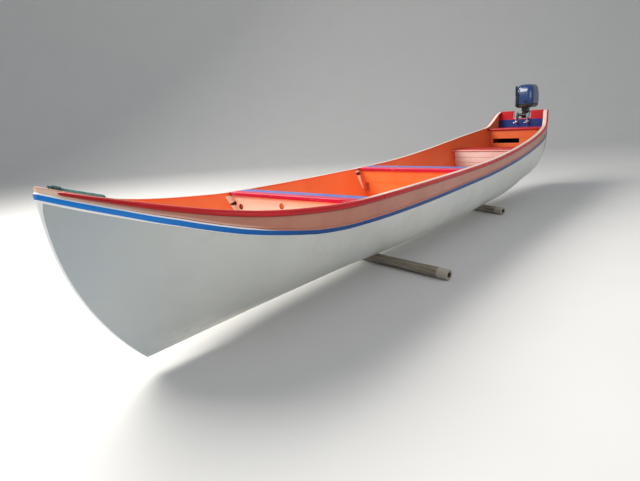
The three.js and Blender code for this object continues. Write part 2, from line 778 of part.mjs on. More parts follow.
function sideProfile(points, y0, y1) {
  const outline = new THREE.Shape(points.map(([x, z]) => new THREE.Vector2(x, z)));
  const geometry = new THREE.ExtrudeGeometry(outline, { depth: y1 - y0, bevelEnabled: false });
  geometry.applyMatrix4(new THREE.Matrix4().set(
    1, 0, 0, 0,
    0, 0, -1, y1,
    0, 1, 0, KEEL_Z,
    0, 0, 0, 1,
  ));
  return geometry;
}

// One clamp plate seen from the side: aft limb, bridge over the transom and forward limb
const CLAMP_OUTLINE = [
  [-34, 822], [-SEAT_GAP, 822], [-SEAT_GAP, NOTCH_Z + SEAT_GAP], [52, NOTCH_Z + SEAT_GAP], [52, 922],
  [78, 922], [80, 1040], [60, 1064],
  [10, 1080], [-24, 1080], [-40, 1062],
];
const SCREW_Z = 948;
const SCREW_RADIUS = 8;
function clampPlate(side) {
  const near = side > 0 ? CLAMP_IN : -CLAMP_IN - CLAMP_THICK;
  const plate = sideProfile(CLAMP_OUTLINE, near, near + CLAMP_THICK);
  const y = side * (CLAMP_IN + CLAMP_THICK / 2);
  const boss = rod([53, y, SCREW_Z], [84, y, SCREW_Z], 15, 16);
  const tube = rod([TILT_X, y - 20, TILT_Z], [TILT_X, y + 20, TILT_Z], TUBE_RADIUS + BORE_GAP, 20);
  const thread = rod([40, y, SCREW_Z], [100, y, SCREW_Z], SCREW_RADIUS + BORE_GAP, 16);
  return cut(join(plate, boss), tube, thread);
}

function clampScrew(side) {
  const y = side * (CLAMP_IN + CLAMP_THICK / 2);
  const pad = rod([TRANSOM_THICK + SEAT_GAP, y, SCREW_Z], [TRANSOM_THICK + 6, y, SCREW_Z], 19, 20);
  const shaft = rod([TRANSOM_THICK + 4, y, SCREW_Z], [120, y, SCREW_Z], SCREW_RADIUS, 16);
  const handle = rod([118, y - 26, SCREW_Z - 14], [118, y + 26, SCREW_Z + 14], 6, 10);
  return join(pad, shaft, handle);
}

for (const [name, side] of [['port', 1], ['starboard', -1]]) {
  place(`clamp_plate_${name}`, clampPlate(side), 'steel', 0.45, 0.6);
  place(`clamp_screw_${name}`, clampScrew(side), 'steel', 0.4, 0.7);
}
const tubeEnd = CLAMP_IN + CLAMP_THICK + 12;
place('tilt_tube',
  rod([TILT_X, -tubeEnd, TILT_Z], [TILT_X, tubeEnd, TILT_Z], TUBE_RADIUS, 20), 'steel', 0.35, 0.8);

// The swivel bracket tilts on the tube and holds the steering spindle
function swivelBracket() {
  const reach = CLAMP_IN - 6;
  const hub = rod([TILT_X, -reach, TILT_Z], [TILT_X, reach, TILT_Z], HUB_RADIUS, 24);
  const column = rod([STEER_X, 0, SWIVEL_LOW], [STEER_X, 0, SWIVEL_HIGH], SWIVEL_RADIUS, 24);
  const arm = sideProfile([[TILT_X - 4, TILT_Z + 16], [TILT_X - 4, TILT_Z - 16], [STEER_X + 8, 850],
    [STEER_X - 8, 850], [STEER_X - 8, SWIVEL_HIGH - 8], [STEER_X + 10, SWIVEL_HIGH - 8]], -34, 34);
  const tube = rod([TILT_X, -reach - 5, TILT_Z], [TILT_X, reach + 5, TILT_Z], TUBE_RADIUS + BORE_GAP, 20);
  const spindle = rod([STEER_X, 0, SWIVEL_LOW - 5], [STEER_X, 0, SWIVEL_HIGH + 5], 11 + BORE_GAP, 20);
  return cut(join(hub, column, arm), tube, spindle);
}
place('swivel_bracket', swivelBracket(), 'black', 0.5, 0.2);

// What steers: the spindle with its yokes, the leg, the gearcase, the pan and the cowl

// A ring with round corners in the level plane
function roundedRing(x0, x1, half, corner, z, steps = 5) {
  const ring = [];
  const radius = Math.min(corner, half - 0.5, (x1 - x0) / 2 - 0.5);
  const corners = [
    [x1 - radius, half - radius, 0],
    [x0 + radius, half - radius, 1],
    [x0 + radius, radius - half, 2],
    [x1 - radius, radius - half, 3],
  ];
  for (const [x, y, quarter] of corners) {
    for (let k = 0; k < steps; k += 1) {
      const angle = (Math.PI / 2) * (quarter + k / (steps - 1));
      ring.push([x + radius * Math.cos(angle), y + radius * Math.sin(angle), z + KEEL_Z]);
    }
  }
  return ring;
}

function spindle() {
  const shaft = rod([STEER_X, 0, SWIVEL_LOW - 20], [STEER_X, 0, SWIVEL_HIGH + 20], 11, 20);
  const upper = loft([
    roundedRing(LEG_FRONT - 60, STEER_X + 34, 46, 22, YOKE_Z),
    roundedRing(LEG_FRONT - 60, STEER_X + 34, 46, 22, PAN_LOW - SEAT_GAP),
  ]);
  const lower = loft([
    roundedRing(LEG_FRONT + SEAT_GAP, STEER_X + 26, 40, 20, SWIVEL_LOW - 36),
    roundedRing(LEG_FRONT + SEAT_GAP, STEER_X + 26, 40, 20, SWIVEL_LOW - 6),
  ]);
  return join(shaft, upper, lower);
}
place('steering_spindle', spindle(), 'black', 0.5, 0.2);

// Columns: height, front x, aft x, half width, corner radius
const LEG_RINGS = [
  [PLATE_Z + PLATE_HALF, -98, -238, 21, 20],
  [PLATE_Z + 60, -112, -232, 25, 24],
  [620, LEG_FRONT, -230, 31, 28],
  [820, LEG_FRONT, -236, 42, 34],
  [YOKE_Z - SEAT_GAP, LEG_FRONT, -246, 56, 40],
];
function leg() {
  return loft(LEG_RINGS.map(([z, front, aft, half, corner]) => roundedRing(aft, front, half, corner, z)));
}
place('motor_leg', leg(), 'black', 0.45, 0.2);

// Columns: distance ahead of the case's aft end, radius
const GEARCASE_PROFILE = [
  [0, 0], [0, 30], [30, 37], [90, GEARCASE_RADIUS], [160, GEARCASE_RADIUS], [200, 36], [228, 24], [242, 10],
  [245, 0],
];
const GEARCASE_AFT = -330;
const SHAFT_OUT = 70;
const SHAFT_RADIUS = 8;
function gearcase() {
  const torpedo = new THREE.LatheGeometry(
    GEARCASE_PROFILE.map(([along, radius]) => new THREE.Vector2(radius, along)),
    20,
  );
  torpedo.rotateZ(-Math.PI / 2);
  torpedo.translate(GEARCASE_AFT, 0, KEEL_Z + SHAFT_Z);
  const strut = loft([
    roundedRing(-252, -108, 15, 14, SHAFT_Z),
    roundedRing(-244, -100, 20, 19, PLATE_Z - 2),
  ]);
  const plate = loft([
    roundedRing(-388, -62, 84, 60, PLATE_Z - PLATE_HALF),
    roundedRing(-388, -62, 84, 60, PLATE_Z + PLATE_HALF - SEAT_GAP),
  ]);
  const skeg = loft([
    roundedRing(-286, -232, 4, 3.5, SKEG_Z),
    roundedRing(-292, -150, 7, 6, SHAFT_Z - 20),
  ]);
  const shaftEnd = [GEARCASE_AFT - SHAFT_OUT, 0, SHAFT_Z];
  const shaft = rod([GEARCASE_AFT + 10, 0, SHAFT_Z], shaftEnd, SHAFT_RADIUS, 20);
  return join(torpedo, strut, plate, skeg, shaft);
}
place('gearcase', gearcase(), 'black', 0.45, 0.2);

// Columns: height, aft x, front x, half width, corner radius
const PAN_RINGS = [
  [PAN_LOW, -330, 8, 98, 60],
  [PAN_LOW + 22, -352, 22, 122, 70],
  [PAN_HIGH, -358, 26, 130, 74],
];
function pan(off) {
  return loft(PAN_RINGS.map(([z, aft, front, half, corner]) => (
    roundedRing(aft - off, front + off, half + off, corner + off, z))));
}
place('motor_pan', pan(0), 'black', 0.4);

// Columns: height, aft x, front x, half width, corner radius
const COWL_RINGS = [
  [PAN_HIGH + SEAT_GAP, -360, 28, 132, 75],
  [1290, -362, 26, 134, 76],
  [1390, -356, 14, 128, 76],
  [1450, -342, -8, 116, 74],
  [1480, -318, -36, 96, 70],
  [COWL_TOP, -280, -76, 68, 60],
];
function cowl() {
  const rings = (off) => COWL_RINGS.map(([z, aft, front, half, corner], i) => {
    const height = i === 0 ? z - (off ? 5 : 0) : z - off;
    return roundedRing(aft + off, front - off, half - off, Math.max(4, corner - off), height);
  });
  return cut(loft(rings(0)), loft(rings(COWL_WALL)));
}
place('motor_cowl', cowl(), 'cowl', 0.3);
place('powerhead', box(-300, -40, -88, 88, PAN_HIGH + SEAT_GAP, 1420), 'steel', 0.6, 0.4);

// The carrying handle under the cowl's front and the starter's pull
const HANDLE = { front: 58, half: 52, low: 1164, high: 1184, bar: 12 };
function carryHandle() {
  const { front, half, low, high, bar } = HANDLE;
  const hoop = box(0, front, -half, half, low, high);
  const gap = box(-5, front - bar, bar - half, half - bar, low - 5, high + 5);
  return cut(hoop, gap, pan(SEAT_GAP));
}
place('carry_handle', carryHandle(), 'black', 0.5);
place('starter_pull', join(
  rod([27.5, 30, 1250], [46, 30, 1250], 8, 12),
  rod([52, 2, 1250], [52, 58, 1250], 9, 12),
), 'black', 0.5);

// The tiller is folded up against the cowl's starboard front corner
const TILLER = { x: 52, y: -92, low: 1176, elbow: 1200, grip: 1330, top: 1470 };
function tillerArm() {
  const { x, y, low, elbow, grip } = TILLER;
  const foot = box(-12, x + 14, y - 14, y + 14, low - 8, elbow + 4);
  return join(cut(foot, pan(SEAT_GAP)), rod([x, y, elbow - 10], [x, y, grip], 13, 14, 11));
}
place('tiller_arm', tillerArm(), 'black', 0.5);
place('tiller_grip', rod(
  [TILLER.x, TILLER.y, TILLER.grip + SEAT_GAP],
  [TILLER.x, TILLER.y, TILLER.top],
  16,
  16,
), 'black', 0.7);

// The propeller turns on its shaft
const BLADES = 3;
function propeller() {
  const aft = GEARCASE_AFT - SHAFT_OUT - 8;
  const front = GEARCASE_AFT - 2;
  const hub = rod([front, 0, SHAFT_Z], [aft, 0, SHAFT_Z], 27, 18, 23);
  const bore = rod([front + 5, 0, SHAFT_Z], [aft + 6, 0, SHAFT_Z], SHAFT_RADIUS + BORE_GAP, 20);
  const edge = 0.9; // half thickness of a blade's edges
  const blades = [];
  for (let n = 0; n < BLADES; n += 1) {
    // Columns: radius, half chord, pitch angle in degrees
    const cuts = [[16, 22, 62], [50, 40, 48], [84, 42, 36], [104, 30, 30], [PROP_RADIUS, 8, 27]];
    const rings = cuts.map(([radius, chord, pitch]) => {
      const a = THREE.MathUtils.degToRad(pitch);
      const thick = 5 - (3 * radius) / PROP_RADIUS;
      const section = [[-chord, edge], [0, thick], [chord, edge],
        [chord, -edge], [0, -thick], [-chord, -edge]];
      return section.map(([s, t]) => {
        const along = s * Math.sin(a) + t * Math.cos(a);
        const side = s * Math.cos(a) - t * Math.sin(a);
        return [(front + aft) / 2 + along, side, radius];
      });
    });
    const blade = loft(rings);
    blade.rotateX((2 * Math.PI * n) / BLADES);
    blade.translate(0, 0, KEEL_Z + SHAFT_Z);
    blades.push(blade);
  }
  return cut(join(hub, ...blades), bore);
}
place('propeller', propeller(), 'steel', 0.4, 0.6);

// The two round timbers that the canoe lies on
// Columns: name, x and y of the port end, x and y of the starboard end
const TIMBERS = [
  ['timber_middle', 4432, 828, 4118, -828],
  ['timber_aft', 1905, 385, 1500, -700],
];
const CORE = { radius: 20, deep: 70 };
function timber(portX, portY, starboardX, starboardY) {
  const z = -TIMBER_RADIUS - SEAT_GAP;
  const port = new THREE.Vector3(portX, portY, z);
  const starboard = new THREE.Vector3(starboardX, starboardY, z);
  const ahead = starboard.clone().sub(port).normalize();
  const log = rod(port.toArray(), starboard.toArray(), TIMBER_RADIUS, 24);
  const out = port.clone().addScaledVector(ahead, -10);
  const deep = port.clone().addScaledVector(ahead, CORE.deep);
  return cut(log, rod(out.toArray(), deep.toArray(), CORE.radius, 16));
}
for (const [name, ...ends] of TIMBERS) {
  place(name, timber(...ends), 'timber', 0.9);
}

export default boat;
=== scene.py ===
# The looks of a moulded motor canoe that lies ashore across two round timbers.
# Tables are in millimetres: lengths from the transom's outer face, heights above the keel line.
import math

import bmesh
import bpy
import numpy as np
from mathutils import Matrix, Vector


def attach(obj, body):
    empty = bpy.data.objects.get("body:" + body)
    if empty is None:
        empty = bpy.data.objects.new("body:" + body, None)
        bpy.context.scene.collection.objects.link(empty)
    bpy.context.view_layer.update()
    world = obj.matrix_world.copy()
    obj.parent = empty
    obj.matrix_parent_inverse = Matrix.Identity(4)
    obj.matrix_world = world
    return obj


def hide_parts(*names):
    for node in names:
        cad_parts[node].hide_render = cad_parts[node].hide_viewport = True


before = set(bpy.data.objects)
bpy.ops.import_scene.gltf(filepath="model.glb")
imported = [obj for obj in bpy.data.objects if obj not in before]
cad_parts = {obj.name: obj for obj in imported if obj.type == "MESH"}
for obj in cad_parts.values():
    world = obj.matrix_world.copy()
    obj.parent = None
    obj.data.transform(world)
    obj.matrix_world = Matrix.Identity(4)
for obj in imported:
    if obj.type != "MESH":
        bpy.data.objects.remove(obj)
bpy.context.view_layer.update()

# Driving dimensions, the same as the solids'
MIDDLE_X = 3326.2
KEEL_Z = 96.3
TIMBER_RADIUS = 48
WALL = 10
KEEL_HALF = 5
STEM_SHAPE = 2.3
TURN_PULL = 0.75
TRANSOM_THICK = 45
BOW_SOLID = 60
STEM_X = 7052

# Columns: keel x, sheer x, keel height, half breadth, sheer height, turn y, turn height
SECTIONS = np.array([
    [TRANSOM_THICK, TRANSOM_THICK, 262, 356, 1100, 400, 250],
    [125, 125, 240, 374, 1062, 415, 238],
    [230, 230, 214, 400, 978, 432, 224],
    [370, 370, 181, 430, 898, 455, 210],
    [560, 560, 139, 464, 871, 478, 208],
    [800, 800, 93, 499, 846, 492, 208],
    [1080, 1080, 50, 532, 818, 500, 200],
    [1400, 1400, 14, 557, 787, 502, 150],
    [1720, 1720, 0, 572, 759, 501, 115],
    [2165, 2165, 0, 586, 725, 500, 98],
    [2875, 2875, 0, 594, 690, 500, 92],
    [3580, 3580, 0, 603, 684, 500, 98],
    [4285, 4285, 0, 617, 690, 500, 120],
    [4900, 4900, 0, 631, 700, 484, 185],
    [5400, 5400, 0, 637, 714, 455, 200],
    [5700, 5740, 0, 635, 742, 425, 200],
    [5950, 6100, 0, 610, 786, 330, 190],
    [6150, 6390, 0, 546, 839, 220, 170],
    [6320, 6640, 0, 424, 901, 125, 150],
    [6450, 6815, 0, 292, 956, 64, 140],
    [6550, 6937, 0, 168, 997, 30, 130],
    [6610, 7003, 0, 85, 1021, 13, 120],
    [6650, STEM_X, 0, 16, 1039, 6, 120],
], float)

# The belt's upper edge, as a depth below the sheer along the skin
# Columns: sheer x, depth, width
BELT_EDGES = np.array([
    [TRANSOM_THICK, 307, 52],
    [125, 267, 52],
    [230, 187, 52],
    [370, 120, 52],
    [2165, 120, 52],
    [3250, 122, 52],
    [4285, 144, 52],
    [4900, 155, 52],
    [5400, 152, 52],
    [5740, 139, 52],
    [6290, 91, 52],
    [6590, 53, 51],
    [6937, 30, 48],
    [STEM_X, 21, 46],
], float)
BELT_PROUD = 7.6

# The rub rail is slimmer towards the bow. Its rise is how far it stands above the shell's rim.
# Columns: sheer x, height, how far it stands out, rise
RAIL_SIZES = np.array([
    [TRANSOM_THICK, 38, 21, 6],
    [5400, 38, 21, 4],
    [6200, 32, 18, 3],
    [6640, 26, 15, 3],
    [STEM_X, 20, 12, 3],
], float)
RAIL_END_X = 6994
# Columns: sheer x, width
CAP_WIDTHS = np.array([
    [TRANSOM_THICK, 48],
    [1080, 42],
    [4900, 40],
    [5740, 28],
    [STEM_X, 22],
], float)
CAP_LOW = 0.3
CAP_HIGH = 6.3
CAP_BOW_X = 6740
DECK_AFT_X = 6744


def metres(points):
    """Hull millimetres to metres in the part's frame."""
    return (np.asarray(points, float) + [-MIDDLE_X, 0, KEEL_Z]) / 1000


SIDES = (("port", 1), ("starboard", -1))


def read(table, x, column=1):
    """A value between the rows of a table whose first column is a length."""
    return np.interp(x, table[:, 0], table[:, column])


def unit(vectors):
    """Vectors with a length of one."""
    vectors = np.asarray(vectors, float)
    return vectors / np.linalg.norm(vectors, axis=-1, keepdims=True)


def heading(points):
    """The direction of a line at each of its points."""
    return unit(np.gradient(points, axis=0))


def left_of(slope):
    """Flat directions turned a quarter to the left."""
    return np.stack([-slope[:, 1], slope[:, 0]], axis=1)


def circle(radius, a, b, sides):
    """Steps from the middle of a circle to its points, in the plane of two directions."""
    q = np.linspace(0, 2 * math.pi, sides, endpoint=False)
    return radius * (np.outer(np.cos(q), a) + np.outer(np.sin(q), b))


def between(t, p, p_slope, q, q_slope):
    """A cubic from p to q with the slopes of both."""
    return ((2 * t**3 - 3 * t**2 + 1) * p + (t**3 - 2 * t**2 + t) * p_slope
            + (3 * t**2 - 2 * t**3) * q + (t**3 - t**2) * q_slope)


def lengths(points):
    """How far along a line each of its points is."""
    steps = np.linalg.norm(np.diff(points, axis=0), axis=1)
    return np.concatenate([[0], np.cumsum(steps)])


def pick(points, run, goal):
    """Points of a line at chosen distances along it."""
    return np.stack([np.interp(goal, run, column) for column in points.T], axis=-1)


def smooth(rows, run, count):
    """Evenly spaced rows on a smooth curve through some rows."""
    rows = np.asarray(rows, float)
    slopes = np.gradient(rows, run, axis=0)
    found = []
    for goal in np.linspace(0, run[-1], count):
        i = min(int(np.searchsorted(run, goal, side="right")) - 1, len(run) - 2)
        step = run[i + 1] - run[i]
        t = (goal - run[i]) / step
        found.append(between(t, rows[i], step * slopes[i], rows[i + 1], step * slopes[i + 1]))
    return np.array(found)


def mirrored(side):
    """A whole outline from pairs of y and height on the port side."""
    return side + [(-y, z) for y, z in side[::-1]]


# Camera and light

def camera():
    """The photograph's place, direction and angle of view."""
    data = bpy.data.cameras.new("camera")
    data.sensor_width = 36
    data.lens = 27.72
    data.clip_end = 200
    thing = bpy.data.objects.new("camera", data)
    bpy.context.scene.collection.objects.link(thing)
    right = Vector((-0.6249, 0.7778, -0.0672))
    up = Vector((-0.2365, -0.1066, 0.9658))
    back = Vector((0.744, 0.6194, 0.2505))
    turn = Matrix((right, up, back)).transposed()
    thing.matrix_world = Matrix.Translation((4.6478, 2.449, 1.3823)) @ turn.to_4x4()
    bpy.context.scene.camera = thing


def area_light(name, place, aim, size, power, colour):
    data = bpy.data.lights.new(name, "AREA")
    data.shape = "RECTANGLE"
    data.size, data.size_y = size
    data.energy = power
    data.color = colour
    thing = bpy.data.objects.new(name, data)
    bpy.context.scene.collection.objects.link(thing)
    thing.location = place
    thing.rotation_euler = (Vector(aim) - Vector(place)).to_track_quat("-Z", "Y").to_euler()


def colours():
    """Plain display colours, so that paints keep their strength."""
    view = bpy.context.scene.view_settings
    view.view_transform = "Standard"
    view.look = "None"


def lights():
    """A broad key from the far side above, with softer light from the near side and the sky."""
    area_light("key", (3.2, -4.6, 6.4), (1.2, 0, 0.4), (7, 4.5), 1150, (1.0, 0.97, 0.92))
    area_light("near_fill", (1.4, 6.4, 3.4), (1.2, 0.5, 0.4), (5, 3), 125, (0.97, 0.98, 1.0))
    world = bpy.data.worlds.new("sky")
    world.use_nodes = True
    back = world.node_tree.nodes["Background"]
    back.inputs["Color"].default_value = (0.86, 0.9, 0.95, 1)
    back.inputs["Strength"].default_value = 0.44
    bpy.context.scene.world = world


# Meshes

def link(name, mesh):
    thing = bpy.data.objects.new(name, mesh)
    bpy.context.scene.collection.objects.link(thing)
    return thing


def new_mesh(name, points, faces):
    mesh = bpy.data.meshes.new(name)
    mesh.from_pydata([tuple(p) for p in points], [], [tuple(f) for f in faces])
    mesh.validate()
    return mesh


def soften(mesh, degrees=35):
    """Smooth shading, with edges sharper than the angle kept."""
    work = bmesh.new()
    work.from_mesh(mesh)
    bmesh.ops.recalc_face_normals(work, faces=work.faces)
    limit = math.radians(degrees)
    for face in work.faces:
        face.smooth = True
    for edge in work.edges:
        edge.smooth = len(edge.link_faces) == 2 and edge.calc_face_angle(math.pi) < limit
    work.to_mesh(mesh)
    work.free()


def dress(thing, body, nodes, slot, *materials):
    """Gives a piece its body, the solids that it stands for and its finish."""
    for look in materials:
        thing.data.materials.append(look)
    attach(thing, body)
    if nodes:
        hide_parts(*nodes)


def attribute(mesh, name, values, kind="FLOAT", field="value"):
    """A value at each point, for the finish to read."""
    layer = mesh.attributes.new(name, kind, "POINT")
    layer.data.foreach_set(field, np.asarray(values, np.float32).ravel())


def ring_faces(rings, count):
    """Quads through rings of equal count, with a cap at each end."""
    faces = []
    for i in range(rings - 1):
        for k in range(count):
            n = (k + 1) % count
            faces.append((i * count + k, i * count + n, (i + 1) * count + n, (i + 1) * count + k))
    last = (rings - 1) * count
    faces.append(tuple(range(count)))
    faces.append(tuple(range(last + count - 1, last - 1, -1)))
    return faces


def loft(name, rings, degrees=35):
    """A closed piece through rings."""
    rings = metres(rings)
    mesh = new_mesh(name, rings.reshape(-1, 3), ring_faces(*rings.shape[:2]))
    soften(mesh, degrees)
    return link(name, mesh)


def joined(name, things, degrees=None):
    """One piece from several, in place."""
    work = bmesh.new()
    for thing in things:
        work.from_mesh(thing.data)
        bpy.data.objects.remove(thing)
    mesh = bpy.data.meshes.new(name)
    work.to_mesh(mesh)
    work.free()
    if degrees:
        soften(mesh, degrees)
    return link(name, mesh)


def evaluated(thing):
    """The mesh of a piece with its modifiers applied."""
    graph = bpy.context.evaluated_depsgraph_get()
    return bpy.data.meshes.new_from_object(thing.evaluated_get(graph))


def settle(thing, degrees):
    """Applies a piece's modifiers and smooths it."""
    mesh = evaluated(thing)
    thing.modifiers.clear()
    thing.data = mesh
    soften(mesh, degrees)
    return thing


def cast(name, things, voxel, rounds=3):
    """Melts overlapping solids into one cast piece with small fillets. The voxel is in metres."""
    thing = joined(name, things)
    remesh = thing.modifiers.new("voxels", "REMESH")
    remesh.mode = "VOXEL"
    remesh.voxel_size = voxel
    remesh.adaptivity = 0
    relax = thing.modifiers.new("relax", "SMOOTH")
    relax.iterations = rounds
    relax.factor = 0.5
    return settle(thing, 60)


def bevelled(thing, width):
    """Rounds a piece's edges by a width."""
    bevel = thing.modifiers.new("bevel", "BEVEL")
    bevel.width = width / 1000
    bevel.segments = 4
    bevel.limit_method = "ANGLE"
    bevel.angle_limit = math.radians(60)
    bevel.harden_normals = False
    return settle(thing, 30)


def lathe(start, along, profile, sides=40, name="turned", degrees=32):
    """A round body about an axis. Columns of the profile: distance along, radius."""
    start = np.asarray(start, float)
    along = unit(along)
    helper = [0, 0, 1] if abs(along[2]) < 0.9 else [1, 0, 0]
    a = unit(np.cross(along, helper))
    b = np.cross(along, a)
    rings = [start + along * s + circle(max(r, 0.05), a, b, sides) for s, r in profile]
    return loft(name, rings, degrees)


def cylinder(start, end, radius, sides=32):
    """A closed round bar between two points."""
    along = np.subtract(end, start)
    return lathe(start, along, [(0, radius), (np.linalg.norm(along), radius)], sides, "bar", 40)


def side_slab(points, y0, y1):
    """A slab from its side outline, in x and height."""
    return loft("slab", [[(x, y, z) for x, z in points] for y in (y0, y1)])


def block(x0, x1, y0, y1, z0, z1):
    """A plain closed box."""
    ring = [(y0, z0), (y1, z0), (y1, z1), (y0, z1)]
    return loft("block", [[(x, y, z) for y, z in ring] for x in (x0, x1)])


def board(name, outline, holes, x0, x1, edge):
    """A board across the hull with rounded edges. Outlines are pairs of y and height."""
    curve = bpy.data.curves.new(name, "CURVE")
    curve.dimensions = "2D"
    curve.fill_mode = "BOTH"
    curve.extrude = (x1 - x0) / 2000 - edge / 1000
    curve.bevel_depth = edge / 1000
    curve.offset = -edge / 1000
    curve.bevel_resolution = 2
    for loop in (outline, *holes):
        spline = curve.splines.new("POLY")
        spline.points.add(len(loop) - 1)
        for point, (y, z) in zip(spline.points, loop):
            point.co = (y / 1000, z / 1000, 0, 1)
        spline.use_cyclic_u = True
    thing = link(name, curve)
    mesh = evaluated(thing)
    bpy.data.objects.remove(thing)
    across = Matrix(((0, 0, 1, 0), (1, 0, 0, 0), (0, 1, 0, 0), (0, 0, 0, 1)))
    across.translation = metres([(x0 + x1) / 2, 0, 0])
    mesh.transform(across)
    work = bmesh.new()
    work.from_mesh(mesh)
    bmesh.ops.remove_doubles(work, verts=work.verts, dist=2e-5)
    work.to_mesh(mesh)
    work.free()
    soften(mesh, 30)
    return link(name, mesh)


# The hull's curves

def along_table(table, u):
    """A row at a place between the table's rows."""
    top = len(table) - 1
    i = min(int(u), top - 1)
    p0, p1, p2, p3 = (table[min(max(n, 0), top)] for n in (i - 1, i, i + 1, i + 2))
    row = between(u - i, p1, (p2 - p0) / 2, p2, (p3 - p1) / 2)
    row[2] = max(0, row[2])
    return row


def half_section(row, steps):
    """Pairs of y and height on the port skin, from the keel to the sheer."""
    _, _, keel, half, sheer, turn_y, turn_z = row
    low = np.array([KEEL_HALF, keel])
    top = np.array([half, sheer])
    turn = np.array([turn_y, turn_z])
    c1 = low + TURN_PULL * (turn - low)
    c2 = top + TURN_PULL * (turn - top)
    t = np.linspace(0, 1, steps + 1)[:, None]
    s = 1 - t
    return s**3 * low + 3 * s**2 * t * c1 + 3 * s * t**2 * c2 + t**3 * top


def lean(row, height):
    """Where the section is along the hull at a height, as the stem end leans back towards the keel."""
    keel_x, sheer_x, keel, _, sheer = row[:5]
    share = np.clip((height - keel) / (sheer - keel), 0, 1)
    return keel_x + (sheer_x - keel_x) * (1 - (1 - share) ** STEM_SHAPE)


INNER_HALF = 2


def inner_section(row, steps):
    """Pairs of y and height on the inside of the wall, or None where there is no room."""
    outer = half_section(row, 160)
    sheer = row[4]
    moved = outer + WALL * left_of(heading(outer))
    keep = np.where((moved[:, 0] > INNER_HALF) & (moved[:, 1] < sheer - 1))[0]
    if len(keep) < 3:
        return None
    kept = moved[keep]
    foot = [INNER_HALF, kept[0][1]]
    rise = (sheer - kept[-1][1]) / (kept[-1][1] - kept[-2][1])
    end = [kept[-1][0] + (kept[-1][0] - kept[-2][0]) * rise, sheer]
    line = np.vstack([foot, kept, end])
    run = lengths(line)
    return pick(line, run, np.linspace(0, run[-1], steps + 1))


STATIONS_A_ROW = 6
SIDE_STEPS = 44
FINE = 400


class Station:
    """One section of the hull: its row and its outside and inside from keel to sheer."""

    def __init__(self, u):
        self.row = along_table(SECTIONS, u)
        self.outer = self.raise_up(half_section(self.row, SIDE_STEPS))
        inside = inner_section(self.row, SIDE_STEPS)
        self.inner = None
        if inside is not None and self.row[1] < STEM_X - BOW_SOLID:
            self.inner = self.raise_up(inside)
        self.fine = self.raise_up(half_section(self.row, FINE))[::-1]
        self.run = lengths(self.fine)

    def raise_up(self, flat):
        return np.stack([lean(self.row, flat[:, 1]), flat[:, 0], flat[:, 1]], axis=1)

    def at_depth(self, depths):
        return pick(self.fine, self.run, depths)


STATIONS = [Station(n / STATIONS_A_ROW) for n in range((len(SECTIONS) - 1) * STATIONS_A_ROW + 1)]
SHEER_X = np.array([station.row[1] for station in STATIONS])
RIM = np.array([station.outer[-1] for station in STATIONS])
MIRROR = np.array([1, -1, 1])


def skin(depths, chosen=STATIONS):
    """Points and outward normals on the port skin; depths has a row for each station."""
    above, here, below = (np.array([s.at_depth(d + shift) for s, d in zip(chosen, depths)])
                          for shift in (-3, 0, 3))
    return here, unit(np.cross(above - below, np.gradient(here, axis=0)))


def sheer_at(x):
    """Half breadth and height of the sheer."""
    half, height = np.array([s.row[3:5] for s in STATIONS]).T
    return np.interp(x, SHEER_X, half), np.interp(x, SHEER_X, height)


def station_at(x):
    """A section of its own at a length along the sheer."""
    places = np.linspace(0, len(SECTIONS) - 1, 2000)
    found = np.array([along_table(SECTIONS, u)[1] for u in places])
    return Station(float(np.interp(x, found, places)))


def room_half(inside, z):
    """Half breadth of the room at a height."""
    return np.interp(z, inside[:, 2], inside[:, 1])


def room_outline(x, low, high):
    """Pairs of y and height round the inside of the hull between two heights."""
    inside = station_at(x).inner
    keep = inside[(inside[:, 2] > low) & (inside[:, 2] < high)]
    foot = (room_half(inside, low) - 1, max(low, inside[0, 2] + 1))
    return mirrored([foot, *((y - 1, z) for _, y, z in keep), (room_half(inside, high) - 1, high)])


# Materials

